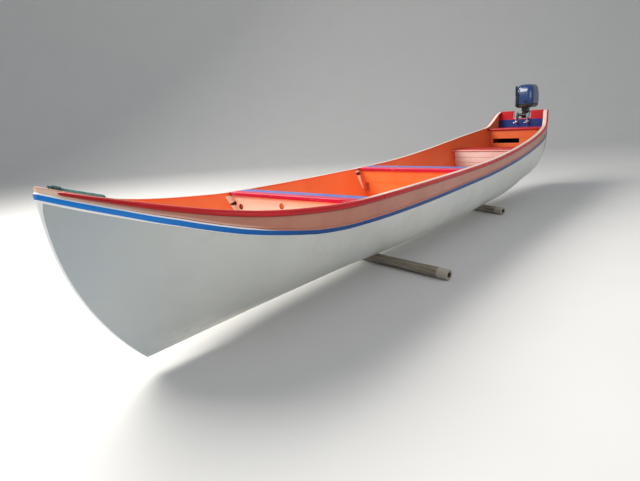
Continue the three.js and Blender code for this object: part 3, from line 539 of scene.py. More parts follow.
class Look:
    """A material's nodes, made in short calls."""

    inputs = {"colour": "Base Color", "rough": "Roughness", "metal": "Metallic", "coat": "Coat Weight",
              "coat_rough": "Coat Roughness", "normal": "Normal", "sheen": "Sheen Weight",
              "specular": "Specular IOR Level"}

    def __init__(self, name):
        self.material = bpy.data.materials.new(name)
        self.material.use_nodes = True
        self.tree = self.material.node_tree
        self.shader = self.tree.nodes["Principled BSDF"]
        self.place = self.tree.nodes.new("ShaderNodeTexCoord").outputs["Object"]

    def set(self, **values):
        for key, value in values.items():
            self.feed(self.shader.inputs[self.inputs[key]], value)

    def colour(self):
        """The colour that the shader has so far."""
        return self.shader.inputs["Base Color"].links[0].from_socket

    def feed(self, socket, value):
        if isinstance(value, bpy.types.NodeSocket):
            self.tree.links.new(value, socket)
        elif isinstance(value, (tuple, list)) and len(value) == 3 and socket.type == "RGBA":
            socket.default_value = (*value, 1)
        else:
            socket.default_value = value

    def node(self, kind, output=0, settings=None, **values):
        made = self.tree.nodes.new(kind)
        for key, value in (settings or {}).items():
            setattr(made, key, value)
        for key, value in values.items():
            self.feed(made.inputs[key.replace("_", " ")], value)
        return made.outputs[output]

    def attribute(self, name, output="Fac"):
        return self.node("ShaderNodeAttribute", output, {"attribute_name": name})

    def noise(self, scale, detail, rough, vector=None, distort=0.0):
        return self.node("ShaderNodeTexNoise", "Fac", Vector=vector or self.place, Scale=scale, Detail=detail,
                         Roughness=rough, Distortion=distort)

    def stretched(self, scale, vector=None):
        return self.node("ShaderNodeMapping", 0, Vector=vector or self.place, Scale=scale)

    def axis(self, letter):
        return self.node("ShaderNodeSeparateXYZ", letter, Vector=self.place)

    def maths(self, kind, a, b=0.0, c=0.0):
        made = self.tree.nodes.new("ShaderNodeMath")
        made.operation = kind
        for socket, value in zip(made.inputs, (a, b, c)):
            self.feed(socket, value)
        return made.outputs[0]

    def step(self, value, low, high):
        """0 below low, 1 above high and smooth between; low may be above high."""
        return self.node("ShaderNodeMapRange", 0, {"interpolation_type": "SMOOTHSTEP"}, Value=value,
                         From_Min=low, From_Max=high)

    def mix(self, share, a, b):
        made = self.tree.nodes.new("ShaderNodeMix")
        made.data_type = "RGBA"
        self.feed(made.inputs["Factor"], share)
        self.feed(made.inputs[6], a)
        self.feed(made.inputs[7], b)
        return made.outputs[2]

    def patches(self, low, high, *noise, **more):
        """A mask with soft edges, cut out of noise."""
        return self.step(self.noise(*noise, **more), low, high)

    def ripple(self, reach, base, *noise):
        """Noise times a reach, on a base."""
        return self.maths("MULTIPLY_ADD", self.noise(*noise), reach, base)

    def both(self, one, other):
        """A mask where two masks meet."""
        return self.maths("MULTIPLY", one, other)

    def cover(self, colour, mask, share, tone):
        """A tone laid over the colour where the mask is, at a share of its strength."""
        return self.mix(self.both(mask, share), colour, tone)

    def bump(self, height, depth, strength=1.0, normal=None):
        made = self.tree.nodes.new("ShaderNodeBump")
        made.inputs["Strength"].default_value = strength
        made.inputs["Distance"].default_value = depth
        self.feed(made.inputs["Height"], height)
        if normal is not None:
            self.feed(made.inputs["Normal"], normal)
        return made.outputs[0]


def paint(name, base, worn, rough=0.35, dirt_share=0.25, coat=0.25):
    """Brushed or sprayed paint over moulding: patchy tone, faint dirt and a little waviness."""
    look = Look(name)
    colour = look.mix(look.patches(0.35, 0.7, 2.6, 5, 0.6), base, worn)
    colour = look.cover(colour, look.patches(0.6, 0.78, 34, 6, 0.65), dirt_share, (0.25, 0.22, 0.18))
    swell = look.bump(look.noise(5.5, 3, 0.5), 0.0006)
    grain = look.bump(look.noise(420, 2, 0.5), 0.00008, 0.6, swell)
    look.set(colour=colour, rough=look.ripple(0.25, rough - 0.1, 11, 5, 0.6), normal=grain,
             coat=coat, coat_rough=0.15)
    return look


# The strake's two tones, darkened to brown as painted shade under the rail, and where the line under it
# begins and where it is whole
SHADED_SALMON = ((0.5, 0.2, 0.127), (0.42, 0.155, 0.1))
FORE_LINE = (2.7, 2.95)
RED = ((0.5, 0.014, 0.02), (0.42, 0.012, 0.018))


def hull_look():
    """White gel coat below the belt and the salmon strake above it."""
    look = Look("hull_gelcoat")
    height = look.axis("Z")
    tone = look.patches(0.3, 0.7, 0.9, 4, 0.55)
    white = look.mix(tone, (0.68, 0.685, 0.64), (0.6, 0.61, 0.575))
    stain = look.patches(0.52, 0.8, 4.5, 7, 0.62, distort=0.4)
    white = look.cover(white, stain, 0.35, (0.47, 0.45, 0.38))
    specks = look.patches(0.66, 0.74, 60, 5, 0.7)
    white = look.cover(white, specks, 0.3, (0.3, 0.29, 0.26))
    low = look.step(height, 0.34, 0.12)
    scuff_place = look.stretched((3.5, 3.5, 26))
    scuffs_and_glare = look.patches(0.5, 0.66, 3.2, 7, 0.7, scuff_place)
    white = look.cover(white, low, look.both(scuffs_and_glare, 0.5), (0.33, 0.3, 0.25))
    # Painted shade: the skin is darkened to blue-grey towards the bow.
    stem = look.step(look.axis("X"), 2.9, 3.65)
    white = look.cover(white, stem, 0.8, (0.38, 0.435, 0.47))
    clouds = look.patches(0.42, 0.72, 3.2, 5, 0.55, distort=0.6)
    white = look.cover(white, clouds, 0.3, (0.5, 0.51, 0.45))
    # Painted shade: the strake is dark brown under the rail, fading to lighter peach in its lowest band,
    # farthest from the rail.
    salmon_tone = look.patches(0.3, 0.72, 3.1, 5, 0.6)
    salmon = look.mix(salmon_tone, *SHADED_SALMON)
    fore_line = look.step(look.axis("X"), *FORE_LINE)
    over = look.maths("MULTIPLY_ADD", fore_line, -13, look.maths("ADD", look.attribute("strake"), 13))
    salmon = look.mix(look.step(over, 14, 2), salmon, (0.72, 0.4, 0.3))
    salmon = look.cover(salmon, stain, 0.25, (0.3, 0.15, 0.11))
    # Partly the strake's own pale salmon, partly painted light: ahead of the rail's tip, where no rail shades
    # it, the strake is pale.
    tip = look.step(look.axis("X"), 3.58, 3.67)
    salmon = look.mix(tip, salmon, (0.9, 0.62, 0.46))
    # Partly white paint, partly painted highlight: the line at the belt's upper edge is whiter than the hull.
    line = look.both(fore_line, look.step(over, -10.5, -9.5))
    white = look.mix(line, white, (0.9, 0.9, 0.9))
    above = look.step(over, -0.5, 0.5)
    colour = look.mix(above, white, salmon)
    rough = look.ripple(0.3, 0.22, 7, 6, 0.65)
    swell = look.bump(look.noise(2.4, 3, 0.5), 0.0022)
    peel = look.bump(look.noise(300, 2, 0.5), 0.00006, 0.6, swell)
    scratch = look.bump(look.both(low, scuffs_and_glare), -0.0004, 0.7, peel)
    look.set(colour=colour, rough=rough, normal=scratch, coat=0.35, coat_rough=0.12)
    return look.material


def inside_look(name):
    """Orange paint over glass cloth, with the weave showing, dust towards the bottom and painted shade
    towards the stern.
    """
    look = Look(name)
    tone = look.patches(0.3, 0.72, 1.7, 5, 0.6)
    colour = look.mix(tone, (0.95, 0.25, 0.07), (0.88, 0.2, 0.05))
    low = look.step(look.axis("Z"), 0.42, 0.14)
    dust = look.both(low, look.patches(0.35, 0.75, 5, 6, 0.6))
    colour = look.cover(colour, dust, 0.6, (0.4, 0.27, 0.18))
    colour = look.cover(colour, look.patches(0.64, 0.73, 75, 5, 0.7), 0.35, (0.3, 0.12, 0.06))
    threads = [look.node("ShaderNodeTexWave", "Fac", {"bands_direction": way}, Vector=look.place,
                         Scale=36.0, Distortion=0.6) for way in "XZ"]
    cloth = look.bump(look.maths("MAXIMUM", *threads), 0.0004, 0.5)
    swell = look.bump(look.noise(6, 3, 0.5), 0.0016, 1.0, cloth)
    # Painted shade: the orange darkens towards the stern.
    aft = look.step(look.axis("X"), 0.1, -1.6)
    colour = look.cover(colour, aft, 0.55, (0.5, 0.075, 0.028))
    look.set(colour=colour, rough=look.ripple(0.3, 0.3, 9, 5, 0.6), normal=swell, coat=0.1,
             coat_rough=0.3, specular=0.35)
    return look.material


def belt_look():
    """A blue face between white bevels."""
    look = Look("belt_paint")
    tone = look.patches(0.3, 0.7, 2.2, 5, 0.6)
    # Painted shade: the blue darkens from bright blue at the bow to navy aft.
    forward = look.step(look.axis("X"), 2.3, 3.7)
    blue = look.mix(forward, (0.004, 0.05, 0.2), (0.002, 0.22, 0.72))
    blue = look.cover(blue, tone, 0.2, (0.008, 0.12, 0.42))
    chips = look.patches(0.67, 0.72, 48, 6, 0.7)
    blue = look.cover(blue, chips, 0.6, (0.5, 0.55, 0.58))
    across = look.attribute("across")
    wander = look.ripple(0.04, -0.02, 14, 3, 0.5)
    place = look.maths("ADD", across, wander)
    ahead = look.step(look.axis("X"), -0.6, 2.4)
    stem = look.step(look.axis("X"), 3.2, 3.6)
    upper = look.maths("MULTIPLY_ADD", stem, -0.07, 0.2)
    lower = look.maths("MULTIPLY_ADD", ahead, -0.16, 1.0)
    lower = look.maths("MULTIPLY_ADD", stem, -0.13, lower)
    top = look.step(look.maths("SUBTRACT", place, upper), 0.015, -0.015)
    bottom = look.step(look.maths("SUBTRACT", place, lower), -0.015, 0.015)
    edge = look.maths("MAXIMUM", top, bottom)
    # Partly white paint, partly painted highlight: the bevels are whiter than the hull, for the light they
    # catch.
    white = look.mix(tone, (0.94, 0.95, 0.95), (0.86, 0.87, 0.87))
    # The strake's colour, with its painted shade from the rail.
    salmon = look.mix(tone, *SHADED_SALMON)
    fore_line = look.step(look.axis("X"), *FORE_LINE)
    over = look.maths("SUBTRACT", place, look.maths("MULTIPLY_ADD", fore_line, -0.14, upper))
    white = look.mix(look.step(over, 0.01, -0.01), white, salmon)
    rough = look.ripple(0.25, 0.2, 16, 5, 0.6)
    look.set(colour=look.mix(edge, blue, white), rough=rough, coat=0.1, coat_rough=0.2, specular=0.25,
             normal=look.bump(look.noise(9, 3, 0.5), 0.0006))
    return look.material


def rail_look():
    """Red paint, with a pink painted highlight on its upper side amidships, partly sun fading, and painted
    shade on its under side.
    """
    look = Look("rail_paint")
    tone = look.patches(0.3, 0.7, 2.8, 5, 0.6)
    red = look.mix(tone, (0.52, 0.006, 0.01), (0.4, 0.005, 0.008))
    # Painted highlight, partly sun fading: the upper side amidships is lightened to pink.
    middle = look.step(look.axis("X"), 1.9, 0.9)
    stern = look.step(look.axis("X"), -2.4, -1.5)
    upper = look.step(look.attribute("upper"), 0.45, 0.85)
    patchy = look.patches(0.25, 0.6, 7, 6, 0.7)
    share = look.both(look.both(middle, stern), look.both(upper, patchy))
    colour = look.cover(red, share, 0.25, (0.7, 0.26, 0.24))
    # Painted shade: the rail's under side is darkened.
    under = look.step(look.attribute("upper"), 0.52, 0.3)
    colour = look.cover(colour, under, 0.6, (0.16, 0.02, 0.015))
    nicks = look.patches(0.66, 0.72, 40, 6, 0.7)
    colour = look.cover(colour, nicks, 0.5, (0.3, 0.1, 0.09))
    rough = look.ripple(0.3, 0.16, 14, 5, 0.6)
    look.set(colour=colour, rough=rough, coat=0.12, coat_rough=0.2, specular=0.25,
             normal=look.bump(look.noise(12, 3, 0.5), 0.0008))
    return look.material


def thwart_look(split):
    """Blue aft and red ahead, with a brushed line between and pale streaks of painted glare."""
    look = Look("thwart_paint")
    tone = look.patches(0.3, 0.7, 4, 5, 0.6)
    blue = look.mix(tone, (0.06, 0.13, 0.44), (0.14, 0.16, 0.46))
    red = look.mix(tone, (0.62, 0.016, 0.08), (0.52, 0.01, 0.055))
    wander = look.ripple(0.008, -0.004, 9, 3, 0.5)
    ahead = look.step(look.maths("ADD", look.axis("X"), wander), split - 0.001, split + 0.001)
    colour = look.mix(ahead, blue, red)
    # Painted highlight: pale grey streaks along the board stand for glare on the paint.
    scuffs_and_glare = look.patches(0.56, 0.68, 3, 7, 0.7, look.stretched((14, 2.5, 14)))
    colour = look.cover(colour, scuffs_and_glare, 0.28, (0.62, 0.6, 0.58))
    rough = look.ripple(0.3, 0.2, 12, 5, 0.6)
    look.set(colour=colour, rough=rough, coat=0.15, coat_rough=0.2, specular=0.35,
             normal=look.bump(look.noise(7, 3, 0.5), 0.0009))
    return look.material


def metal_look(name, base, dark, rough, metal=1.0):
    """Cast or plated metal with a little grime in it."""
    look = Look(name)
    colour = look.cover(base, look.patches(0.42, 0.75, 26, 6, 0.65), 0.4, dark)
    look.set(colour=colour, metal=metal, rough=look.ripple(0.3, rough - 0.12, 60, 4, 0.6),
             normal=look.bump(look.noise(700, 2, 0.5), 0.00012, 0.6))
    return look.material


def motor_paint(name, base, dark, rough, coat, grit):
    """Factory paint on metal or plastic with fine dust and scratches."""
    look = Look(name)
    colour = look.cover(base, look.patches(0.45, 0.8, 9, 6, 0.6), 0.4, dark)
    lines = look.patches(0.62, 0.68, 18, 5, 0.7, look.stretched((9, 9, 1.4)))
    colour = look.cover(colour, lines, 0.12, (0.6, 0.6, 0.6))
    look.set(colour=colour, rough=look.ripple(0.2, rough - 0.08, 30, 5, 0.6), coat=coat, coat_rough=0.1,
             normal=look.bump(look.noise(500, 2, 0.5), grit))
    return look.material


def timber_look():
    """Weathered round wood with its grain along the log."""
    look = Look("weathered_wood")
    grain = look.attribute("grain", "Vector")
    long = look.stretched((0.9, 16, 16), grain)
    fibres = look.noise(3.5, 9, 0.7, long, 0.3)
    colour = look.mix(look.step(fibres, 0.3, 0.7), (0.12, 0.092, 0.065), (0.4, 0.34, 0.26))
    grey = look.patches(0.35, 0.7, 2.2, 5, 0.6, grain)
    colour = look.cover(colour, grey, 0.55, (0.33, 0.31, 0.28))
    cracks = look.patches(0.36, 0.3, 2.6, 6, 0.75, look.stretched((0.5, 22, 22), grain))
    colour = look.cover(colour, cracks, 0.8, (0.03, 0.022, 0.016))
    pale = look.attribute("pale")
    colour = look.cover(colour, pale, 0.75, (0.6, 0.55, 0.47))
    # Painted shade: the dark attribute darkens the hollow core at the port end and its rim.
    dark = look.attribute("dark")
    colour = look.cover(colour, dark, 0.85, (0.025, 0.018, 0.013))
    ridge = look.bump(fibres, 0.0018)
    split = look.bump(cracks, -0.003, 1.0, ridge)
    look.set(colour=colour, rough=0.85, normal=split)
    return look.material


# The hull

def hull():
    """The moulded shell, as one closed mesh with its inside."""
    points, strake, faces, inner_faces = [], [], [], []

    def add(rows, values):
        first = len(points)
        points.extend(rows)
        strake.extend(values)
        return np.arange(first, first + len(rows))

    outer, inner, tops = [], [], []
    for station in STATIONS:
        port = station.outer
        both = np.vstack([port[::-1], port * MIRROR])
        run = lengths(port[::-1])
        gap = read(BELT_EDGES, station.row[1]) - 1 - run
        outer.append(add(both, np.concatenate([gap, gap[::-1]])))
        if station.inner is not None:
            room = station.inner
            inner.append(add(np.vstack([room[::-1], room * MIRROR]), np.full(2 * len(room), -9.0)))
        else:
            x, y, z = port[-1]
            side = max(y - WALL, y * 0.4)
            tops.append(add(np.array([[x, side, z], [x, -side, z]]), [9.0, 9.0]))
    solid = len(inner)
    count = len(outer[0])
    for i in range(len(STATIONS) - 1):
        a, b = outer[i], outer[i + 1]
        faces += [(a[k], a[k + 1], b[k + 1], b[k]) for k in range(count - 1)]
    for i in range(solid - 1):
        a, b = inner[i], inner[i + 1]
        inner_faces += [(a[k + 1], a[k], b[k], b[k + 1]) for k in range(count - 1)]
        inner_faces.append((outer[i][0], outer[i + 1][0], b[0], a[0]))
        inner_faces.append((outer[i][-1], a[-1], b[-1], outer[i + 1][-1]))
    for k in range(count - 1):
        faces.append((outer[0][k], inner[0][k], inner[0][k + 1], outer[0][k + 1]))
    wall = inner[solid - 1]
    half = count // 2
    inner_faces += [(wall[k], wall[k + 1], wall[count - 2 - k], wall[count - 1 - k]) for k in range(half - 1)]
    rails = [(wall[0], wall[-1])] + [(top[0], top[1]) for top in tops]
    for i, (a, b) in enumerate(zip(rails, rails[1:])):
        fore, aft = outer[solid + i], outer[solid - 1 + i]
        faces.append((aft[0], fore[0], b[0], a[0]))
        faces.append((a[0], b[0], b[1], a[1]))
        faces.append((a[1], b[1], fore[-1], aft[-1]))
    last = outer[-1]
    faces.append((last[0], last[-1], tops[-1][1], tops[-1][0]))
    faces += [(last[k], last[k + 1], last[count - 2 - k], last[count - 1 - k]) for k in range(half - 1)]
    mesh = new_mesh("hull_moulding", metres(points), faces + inner_faces)
    attribute(mesh, "strake", strake)
    mesh.materials.append(hull_look())
    mesh.materials.append(inside_look("inside_paint"))
    inside = np.zeros(len(mesh.polygons), np.int32)
    inside[len(faces):] = 1
    mesh.polygons.foreach_set("material_index", inside)
    soften(mesh, 40)
    dress(link("hull_moulding", mesh), "canoe", ["hull_shell"], "hull_white")


# The pale strip up the stem, from the keel to under the belt, painted whiter than the hull as a painted
# highlight for the lit stem face
# Columns: height, how far its sides reach behind the stem, how far it stands ahead of the stem
STEM_STRIP = np.array([
    [-1, 2, 1],
    [40, 1.5, 4],
    [200, 1.5, 6],
    [700, 1.5, 6],
    [860, 2, 6],
    [930, 4, 6],
    [965, 9, 6],
    [988, 15, 6],
], float)


def skin_half(x, z):
    """Half breadth of the outside of the hull at a length and a height."""
    sections = [s.outer for s in STATIONS[-40:] if s.outer[0, 2] <= z <= s.outer[-1, 2]]
    places = np.array([[np.interp(z, outer[:, 2], outer[:, c]) for c in (0, 1)] for outer in sections])
    return read(places, x)


def stem_strip(look):
    """A raised strip wrapped over the stem's edge."""
    lift = 1.6
    rings = []
    for z in np.linspace(2, STEM_STRIP[-1, 0], 90):
        reach, proud = (read(STEM_STRIP, z, c) for c in (1, 2))
        x = lean(STATIONS[-1].row, z)
        spots = [x - reach * share for share in (1.0, 0.66, 0.33, 0.0)]
        halves = [skin_half(spot, z) for spot in spots]
        edge = halves[-1]
        port = [(spots[0], halves[0] - 2), (spots[0], halves[0] + lift * 0.6)]
        port += [(spot, half + lift) for spot, half in zip(spots[1:], halves[1:])]
        port += [(x + proud * 0.6, edge * 0.8 + 0.5), (x + proud * 0.92, edge * 0.5), (x + proud, edge * 0.2)]
        rings.append([(px, py, z) for px, py in port] + [(px, -py, z) for px, py in port[::-1]])
    dress(loft("stem_strip", rings, 60), "canoe", [], "hull_white", look)


def belt():
    """The blue belt with its bevels, round the stem head and back."""
    upper = [(0.0, -2), (0.0, 0.5), (0.03, 4), (0.08, 6.4), (0.13, BELT_PROUD)]
    shape = np.array([*upper, (0.5, BELT_PROUD + 0.6), *((1 - s, o) for s, o in upper[::-1])])
    share, out = shape.T
    top, wide = (read(BELT_EDGES, SHEER_X, c)[:, None] for c in (1, 2))
    here, normal = skin(top + wide * share)
    port = here + normal * out[None, :, None]
    tip = port[-1]
    nose = []
    for q in np.linspace(0, math.pi, 9)[1:-1]:
        x = lean(STATIONS[-1].row, here[-1][:, 2]) + (out + 1) * math.sin(q)
        x = np.maximum(x, tip[:, 0] * (1 - math.sin(q)) + x * math.sin(q))
        nose.append(np.stack([x, tip[:, 1] * math.cos(q), tip[:, 2]], axis=1))
    rings = np.concatenate([port, np.array(nose), port[::-1] * MIRROR])
    thing = loft("belt_band", rings, 50)
    attribute(thing.data, "across", np.tile(share, len(rings)))
    dress(thing, "canoe", ["blue_belt"], "belt_blue", belt_look())


def rails():
    """The half round rub rails with their rounded ends behind the stem."""
    tip_run = 12
    chosen = [s for s in STATIONS if s.row[1] < RAIL_END_X - tip_run]
    chosen += [station_at(RAIL_END_X - tip_run * (1 - share)) for share in (0.0, 0.3, 0.55, 0.75, 0.9, 0.985)]
    angles = np.linspace(0, math.pi, 15)
    ends = np.array([s.row[1] for s in chosen])
    tall, proud, rise = (read(RAIL_SIZES, ends, c)[:, None] for c in (1, 2, 3))
    middle = tall / 2 - rise
    left = np.clip((RAIL_END_X - ends) / tip_run, 0, 1)
    shrink = np.sqrt(np.clip(1 - (1 - left) ** 2, 0.02, 1))[:, None]
    down = middle - tall / 2 * shrink * np.cos(angles)
    here, normal = skin(np.maximum(0, down), chosen)
    ring = here + normal * (proud * shrink * np.sin(angles) + 0.3)[:, :, None]
    ring[:, :, 2] += np.maximum(0, -down)
    back, back_normal = skin(middle, chosen)
    ring = np.concatenate([ring, back - back_normal * 2], axis=1)
    upper = np.concatenate([0.5 + 0.5 * np.cos(angles), [0]])
    look = rail_look()
    for name, side in SIDES:
        thing = loft(f"rail_{name}", ring * [1, side, 1], 50)
        attribute(thing.data, "upper", np.tile(upper, len(chosen)))
        dress(thing, "canoe", [f"rub_rail_{name}"], "rail_red", look)


def cap_look():
    """Pale paint, with the rail's red brought over the outer part ahead of the forward thwart."""
    look = paint("cap_paint", (0.8, 0.66, 0.58), (0.72, 0.52, 0.44), 0.3, coat=0.4)
    red = look.mix(look.patches(0.3, 0.7, 6, 5, 0.6), (0.6, 0.014, 0.02), (0.5, 0.012, 0.018))
    ahead = look.step(look.axis("X"), 1.75, 2.15)
    across = look.maths("ADD", look.attribute("across"), look.ripple(0.1, -0.05, 9, 3, 0.5))
    outer = look.step(across, 0.86, 0.8)
    port = look.step(look.axis("Y"), -0.01, 0.01)
    look.set(colour=look.mix(look.both(look.both(ahead, outer), port), look.colour(), red))
    return look.material


def caps(look):
    """The pale caps on the rim, rounded on the inner edge."""
    inward = unit(np.cross([0, 0, 1], heading(RIM)))
    inward *= np.where(inward[:, 1:2] > 0, -1, 1)
    rings = []
    for rim, way in zip(RIM[SHEER_X < CAP_BOW_X + 30], inward):
        wide = read(CAP_WIDTHS, rim[0])
        shape = [(-1, CAP_LOW), (-1, CAP_HIGH - 2), (1.5, CAP_HIGH), (wide - 4, CAP_HIGH),
                 (wide - 1, CAP_HIGH - 1.2), (wide, CAP_HIGH - 3), (wide - 1, CAP_LOW + 1),
                 (wide - 3, CAP_LOW)]
        rings.append([rim + way * side + [0, 0, rise] for side, rise in shape])
    across = np.tile([0.0, 0.0, 0.05, 0.9, 0.97, 1.0, 1.0, 0.9], len(rings))
    for name, side in SIDES:
        thing = loft(f"cap_{name}", np.array(rings) * [1, side, 1], 50)
        attribute(thing.data, "across", across)
        dress(thing, "canoe", [f"gunwale_cap_{name}"], "hull_white", look)


def bow_deck(look):
    """The small crowned deck between the rails at the bow."""
    kept = [station_at(DECK_AFT_X), *[s for s in STATIONS if s.row[1] > DECK_AFT_X + 10]]
    shares = np.linspace(1, -1, 15)
    rings = []
    for station in kept:
        x, y, z = station.outer[-1]
        side = max(4, y - 1)
        crown = [(x, side * s, z + CAP_HIGH + 3 * (1 - s * s)) for s in shares]
        rings.append([(x, side, z + CAP_LOW), *crown, (x, -side, z + CAP_LOW)])
    dress(loft("bow_deck_board", rings, 45), "canoe", ["bow_deck"], "deck_salmon", look)


# A short painter, drawn taut from its knot to a turn about the deck's aft edge
ROPE_RADIUS = 7.6
ROPE_OVER = 8.3
ROPE_TAIL = 70
# The length of one turn of the strands
ROPE_LAY = 46
# The radius of a ring of three strands over the radius of one
THREE_STRANDS = 2.155
# How many points of the rope's path come before it lies on the deck
ROPE_TURNED = 26
KNOT_X = 6960
KNOT_LONG = 30
KNOT_TURNS = 2.6
KNOT_ROPE = 5.6
ROPE_END_X = 6998


def deck_height(x, under=False):
    """Height of the bow deck's crown, or of its under side."""
    return sheer_at(x)[1] + (CAP_LOW if under else CAP_HIGH + 3)


def rope_path():
    """Points along the rope's middle, from its tail under the deck to its fore end."""
    aft_top = deck_height(DECK_AFT_X)
    aft_low = deck_height(DECK_AFT_X, True) + 1.5
    middle = (aft_top + aft_low) / 2
    turn = (aft_top - aft_low) / 2 + ROPE_OVER
    slope = math.atan2(deck_height(DECK_AFT_X + 60) - aft_top, 60)
    lean_over = ROPE_OVER / math.cos(slope)
    path = []
    for x in np.linspace(DECK_AFT_X + ROPE_TAIL, DECK_AFT_X + 8, 12):
        path.append((x, deck_height(x, True) - lean_over))
    for angle in np.linspace(slope - math.pi / 2, slope - 1.5 * math.pi, 14):
        path.append((DECK_AFT_X + turn * math.cos(angle), middle + turn * math.sin(angle)))
    for x in np.linspace(DECK_AFT_X + 12, ROPE_END_X, 60):
        path.append((x, deck_height(x) + lean_over))
    return np.array([(x, 0.0, z) for x, z in path])


def laid_rope(path, radius):
    """Three strands twisted about a path."""
    strand = radius / THREE_STRANDS
    run = lengths(path)
    goal = np.arange(0, run[-1], 2.2)
    line = pick(path, run, goal)
    ahead = heading(line)
    side = unit(np.cross(ahead, np.cross([0.11, 0.99, 0.07], ahead)))
    other = np.cross(ahead, side)
    made = []
    for n in range(3):
        turn = 2 * math.pi * (goal / ROPE_LAY + n / 3)[:, None]
        middle = line + (radius - strand) * (np.cos(turn) * side + np.sin(turn) * other)
        rings = [place + circle(strand * 1.12, a, b, 12) for place, a, b in zip(middle, side, other)]
        made.append(loft("strand", rings, 60))
    return made


def rope_look():
    """Old teal fibre, darker from the knot forward."""
    look = Look("painter_rope")
    fibres = look.noise(900, 3, 0.7)
    tone = look.patches(0.3, 0.7, 30, 5, 0.6)
    colour = look.mix(tone, (0.05, 0.2, 0.23), (0.12, 0.36, 0.37))
    colour = look.cover(colour, look.step(fibres, 0.4, 0.7), 0.5, (0.26, 0.5, 0.5))
    knot = (KNOT_X - KNOT_LONG - MIDDLE_X) / 1000
    near_knot = look.step(look.axis("X"), knot - 0.01, knot + 0.01)
    colour = look.cover(colour, near_knot, 0.75, (0.02, 0.055, 0.08))
    look.set(colour=colour, rough=0.85, sheen=0.25, normal=look.bump(fibres, 0.0006))
    return look.material


def painter():
    """The rope with the turns of its knot."""
    path = rope_path()
    top = path[ROPE_TURNED:]
    share = np.linspace(0, 1, 90)
    x = KNOT_X + KNOT_LONG * (share - 0.5)
    angle = 2 * math.pi * KNOT_TURNS * share
    z = np.interp(x, top[:, 0], top[:, 2]) + 2.5 + 7 * np.sin(angle)
    turns = np.stack([x, 14 * np.cos(angle), z], axis=1)
    thing = joined("painter_line", laid_rope(path, ROPE_RADIUS) + laid_rope(turns, KNOT_ROPE), 60)
    dress(thing, "canoe", ["painter"], "rope_teal", rope_look())


THWARTS = [("forward", 5385, 185), ("middle", 3610, 200)]
THWART_THICK = 30
# The share of a thwart's width that is red
THWART_RED = 0.42
LIP_SETBACK = 14
BULKHEAD_THICK = 16
HAND_HOLES = [(-576, 627, 15), (-512, 602, 22), (-65, 633, 23)]
HATCH = (-521, -461, 440, 532)


def thwart(name, front, width):
    """A board between the caps with rounded edges."""
    rings = []
    for x in np.linspace(front - width, front, 9):
        half, sheer = sheer_at(x)
        side = half - read(CAP_WIDTHS, x) - 1
        top = sheer + CAP_HIGH
        low = top - THWART_THICK
        rings.append([(x, side, low), (x, side, top), (x, -side, top), (x, -side, low)])
    thing = bevelled(loft(f"thwart_board_{name}", rings), 5)
    split = (front - width * THWART_RED - MIDDLE_X) / 1000
    dress(thing, "canoe", [f"thwart_{name}"], "thwart_blue", thwart_look(split))


def round_loop(y, z, radius):
    """Pairs of y and height round a hole."""
    turns = np.linspace(0, 2 * math.pi, 28, endpoint=False)
    return [(y + radius * math.cos(q), z + radius * math.sin(q)) for q in turns]


def round_corners(a0, a1, b0, b1, corner, steps):
    """Pairs round a box with round corners."""
    loop = []
    for a, b, quarter in ((a1 - corner, b1 - corner, 0), (a0 + corner, b1 - corner, 1),
                          (a0 + corner, b0 + corner, 2), (a1 - corner, b0 + corner, 3)):
        for k in range(steps + 1):
            q = math.pi / 2 * (quarter + k / steps)
            loop.append((a + corner * math.cos(q), b + corner * math.sin(q)))
    return loop


# Columns: how far a bead reaches along the skin, how far up the board
BEAD = ((1.0, 0.02), (0.45, 0.1), (0.2, 0.2), (0.1, 0.45), (0.02, 1.0))
BEAD_REACH = 24


def cove(name, x, low, high, side, look, face=24):
    """The bead of resin and glass tape where a bulkhead meets the skin."""
    inside = station_at(x).inner
    keep = inside[(inside[:, 2] > low) & (inside[:, 2] < high)]
    paths = [keep, keep * MIRROR]
    if low < inside[0, 2]:
        paths = [np.vstack([keep[::-1], keep * MIRROR])]
    centre = np.array([0, (low + high) / 2])
    made = []
    for line in paths:
        inward = left_of(heading(line[:, 1:]))
        inward *= np.sign(np.sum((centre - line[:, 1:]) * inward, axis=1))[:, None]
        rings = []
        for out, up in [(BEAD_REACH * u, face * t) for u, t in BEAD] + [(0, 0.2)]:
            flat = line[:, 1:] + inward * up
            rings.append(np.column_stack([np.full(len(line), x + side * out), flat]))
        made.append(loft("bead", np.array(rings).transpose(1, 0, 2), 50))
    dress(joined(name, made, 50), "canoe", [], "inside_orange", look)


GUSSET_DEEP = 190
GUSSET_STEPS = 12


def gusset(name, x, high, look):
    """The cream wedges that run from a bulkhead's top corners forward along the skin."""
    made = []
    for side in (1, -1):
        rings = []
        for z in np.linspace(high - GUSSET_DEEP, high, GUSSET_STEPS):
            reach = 5 + 58 * (z - high + GUSSET_DEEP) / GUSSET_DEEP
            near, middle, far = (room_half(station_at(x + reach * share).inner, z)
                                 for share in (0.02, 0.5, 1))
            ring = [(x - 1, near + 1), (x - 1, near - 7), (x + 1.5, near - 8), (x + reach * 0.5, middle - 5),
                    (x + reach - 1, far - 1.2), (x + reach, far + 1), (x + reach * 0.5, middle + 1)]
            rings.append([(px, py * side, z) for px, py in ring])
        made.append(loft("wedge", rings, 40))
    dress(joined(name, made, 40), "canoe", [], "bulkhead_cream", look)


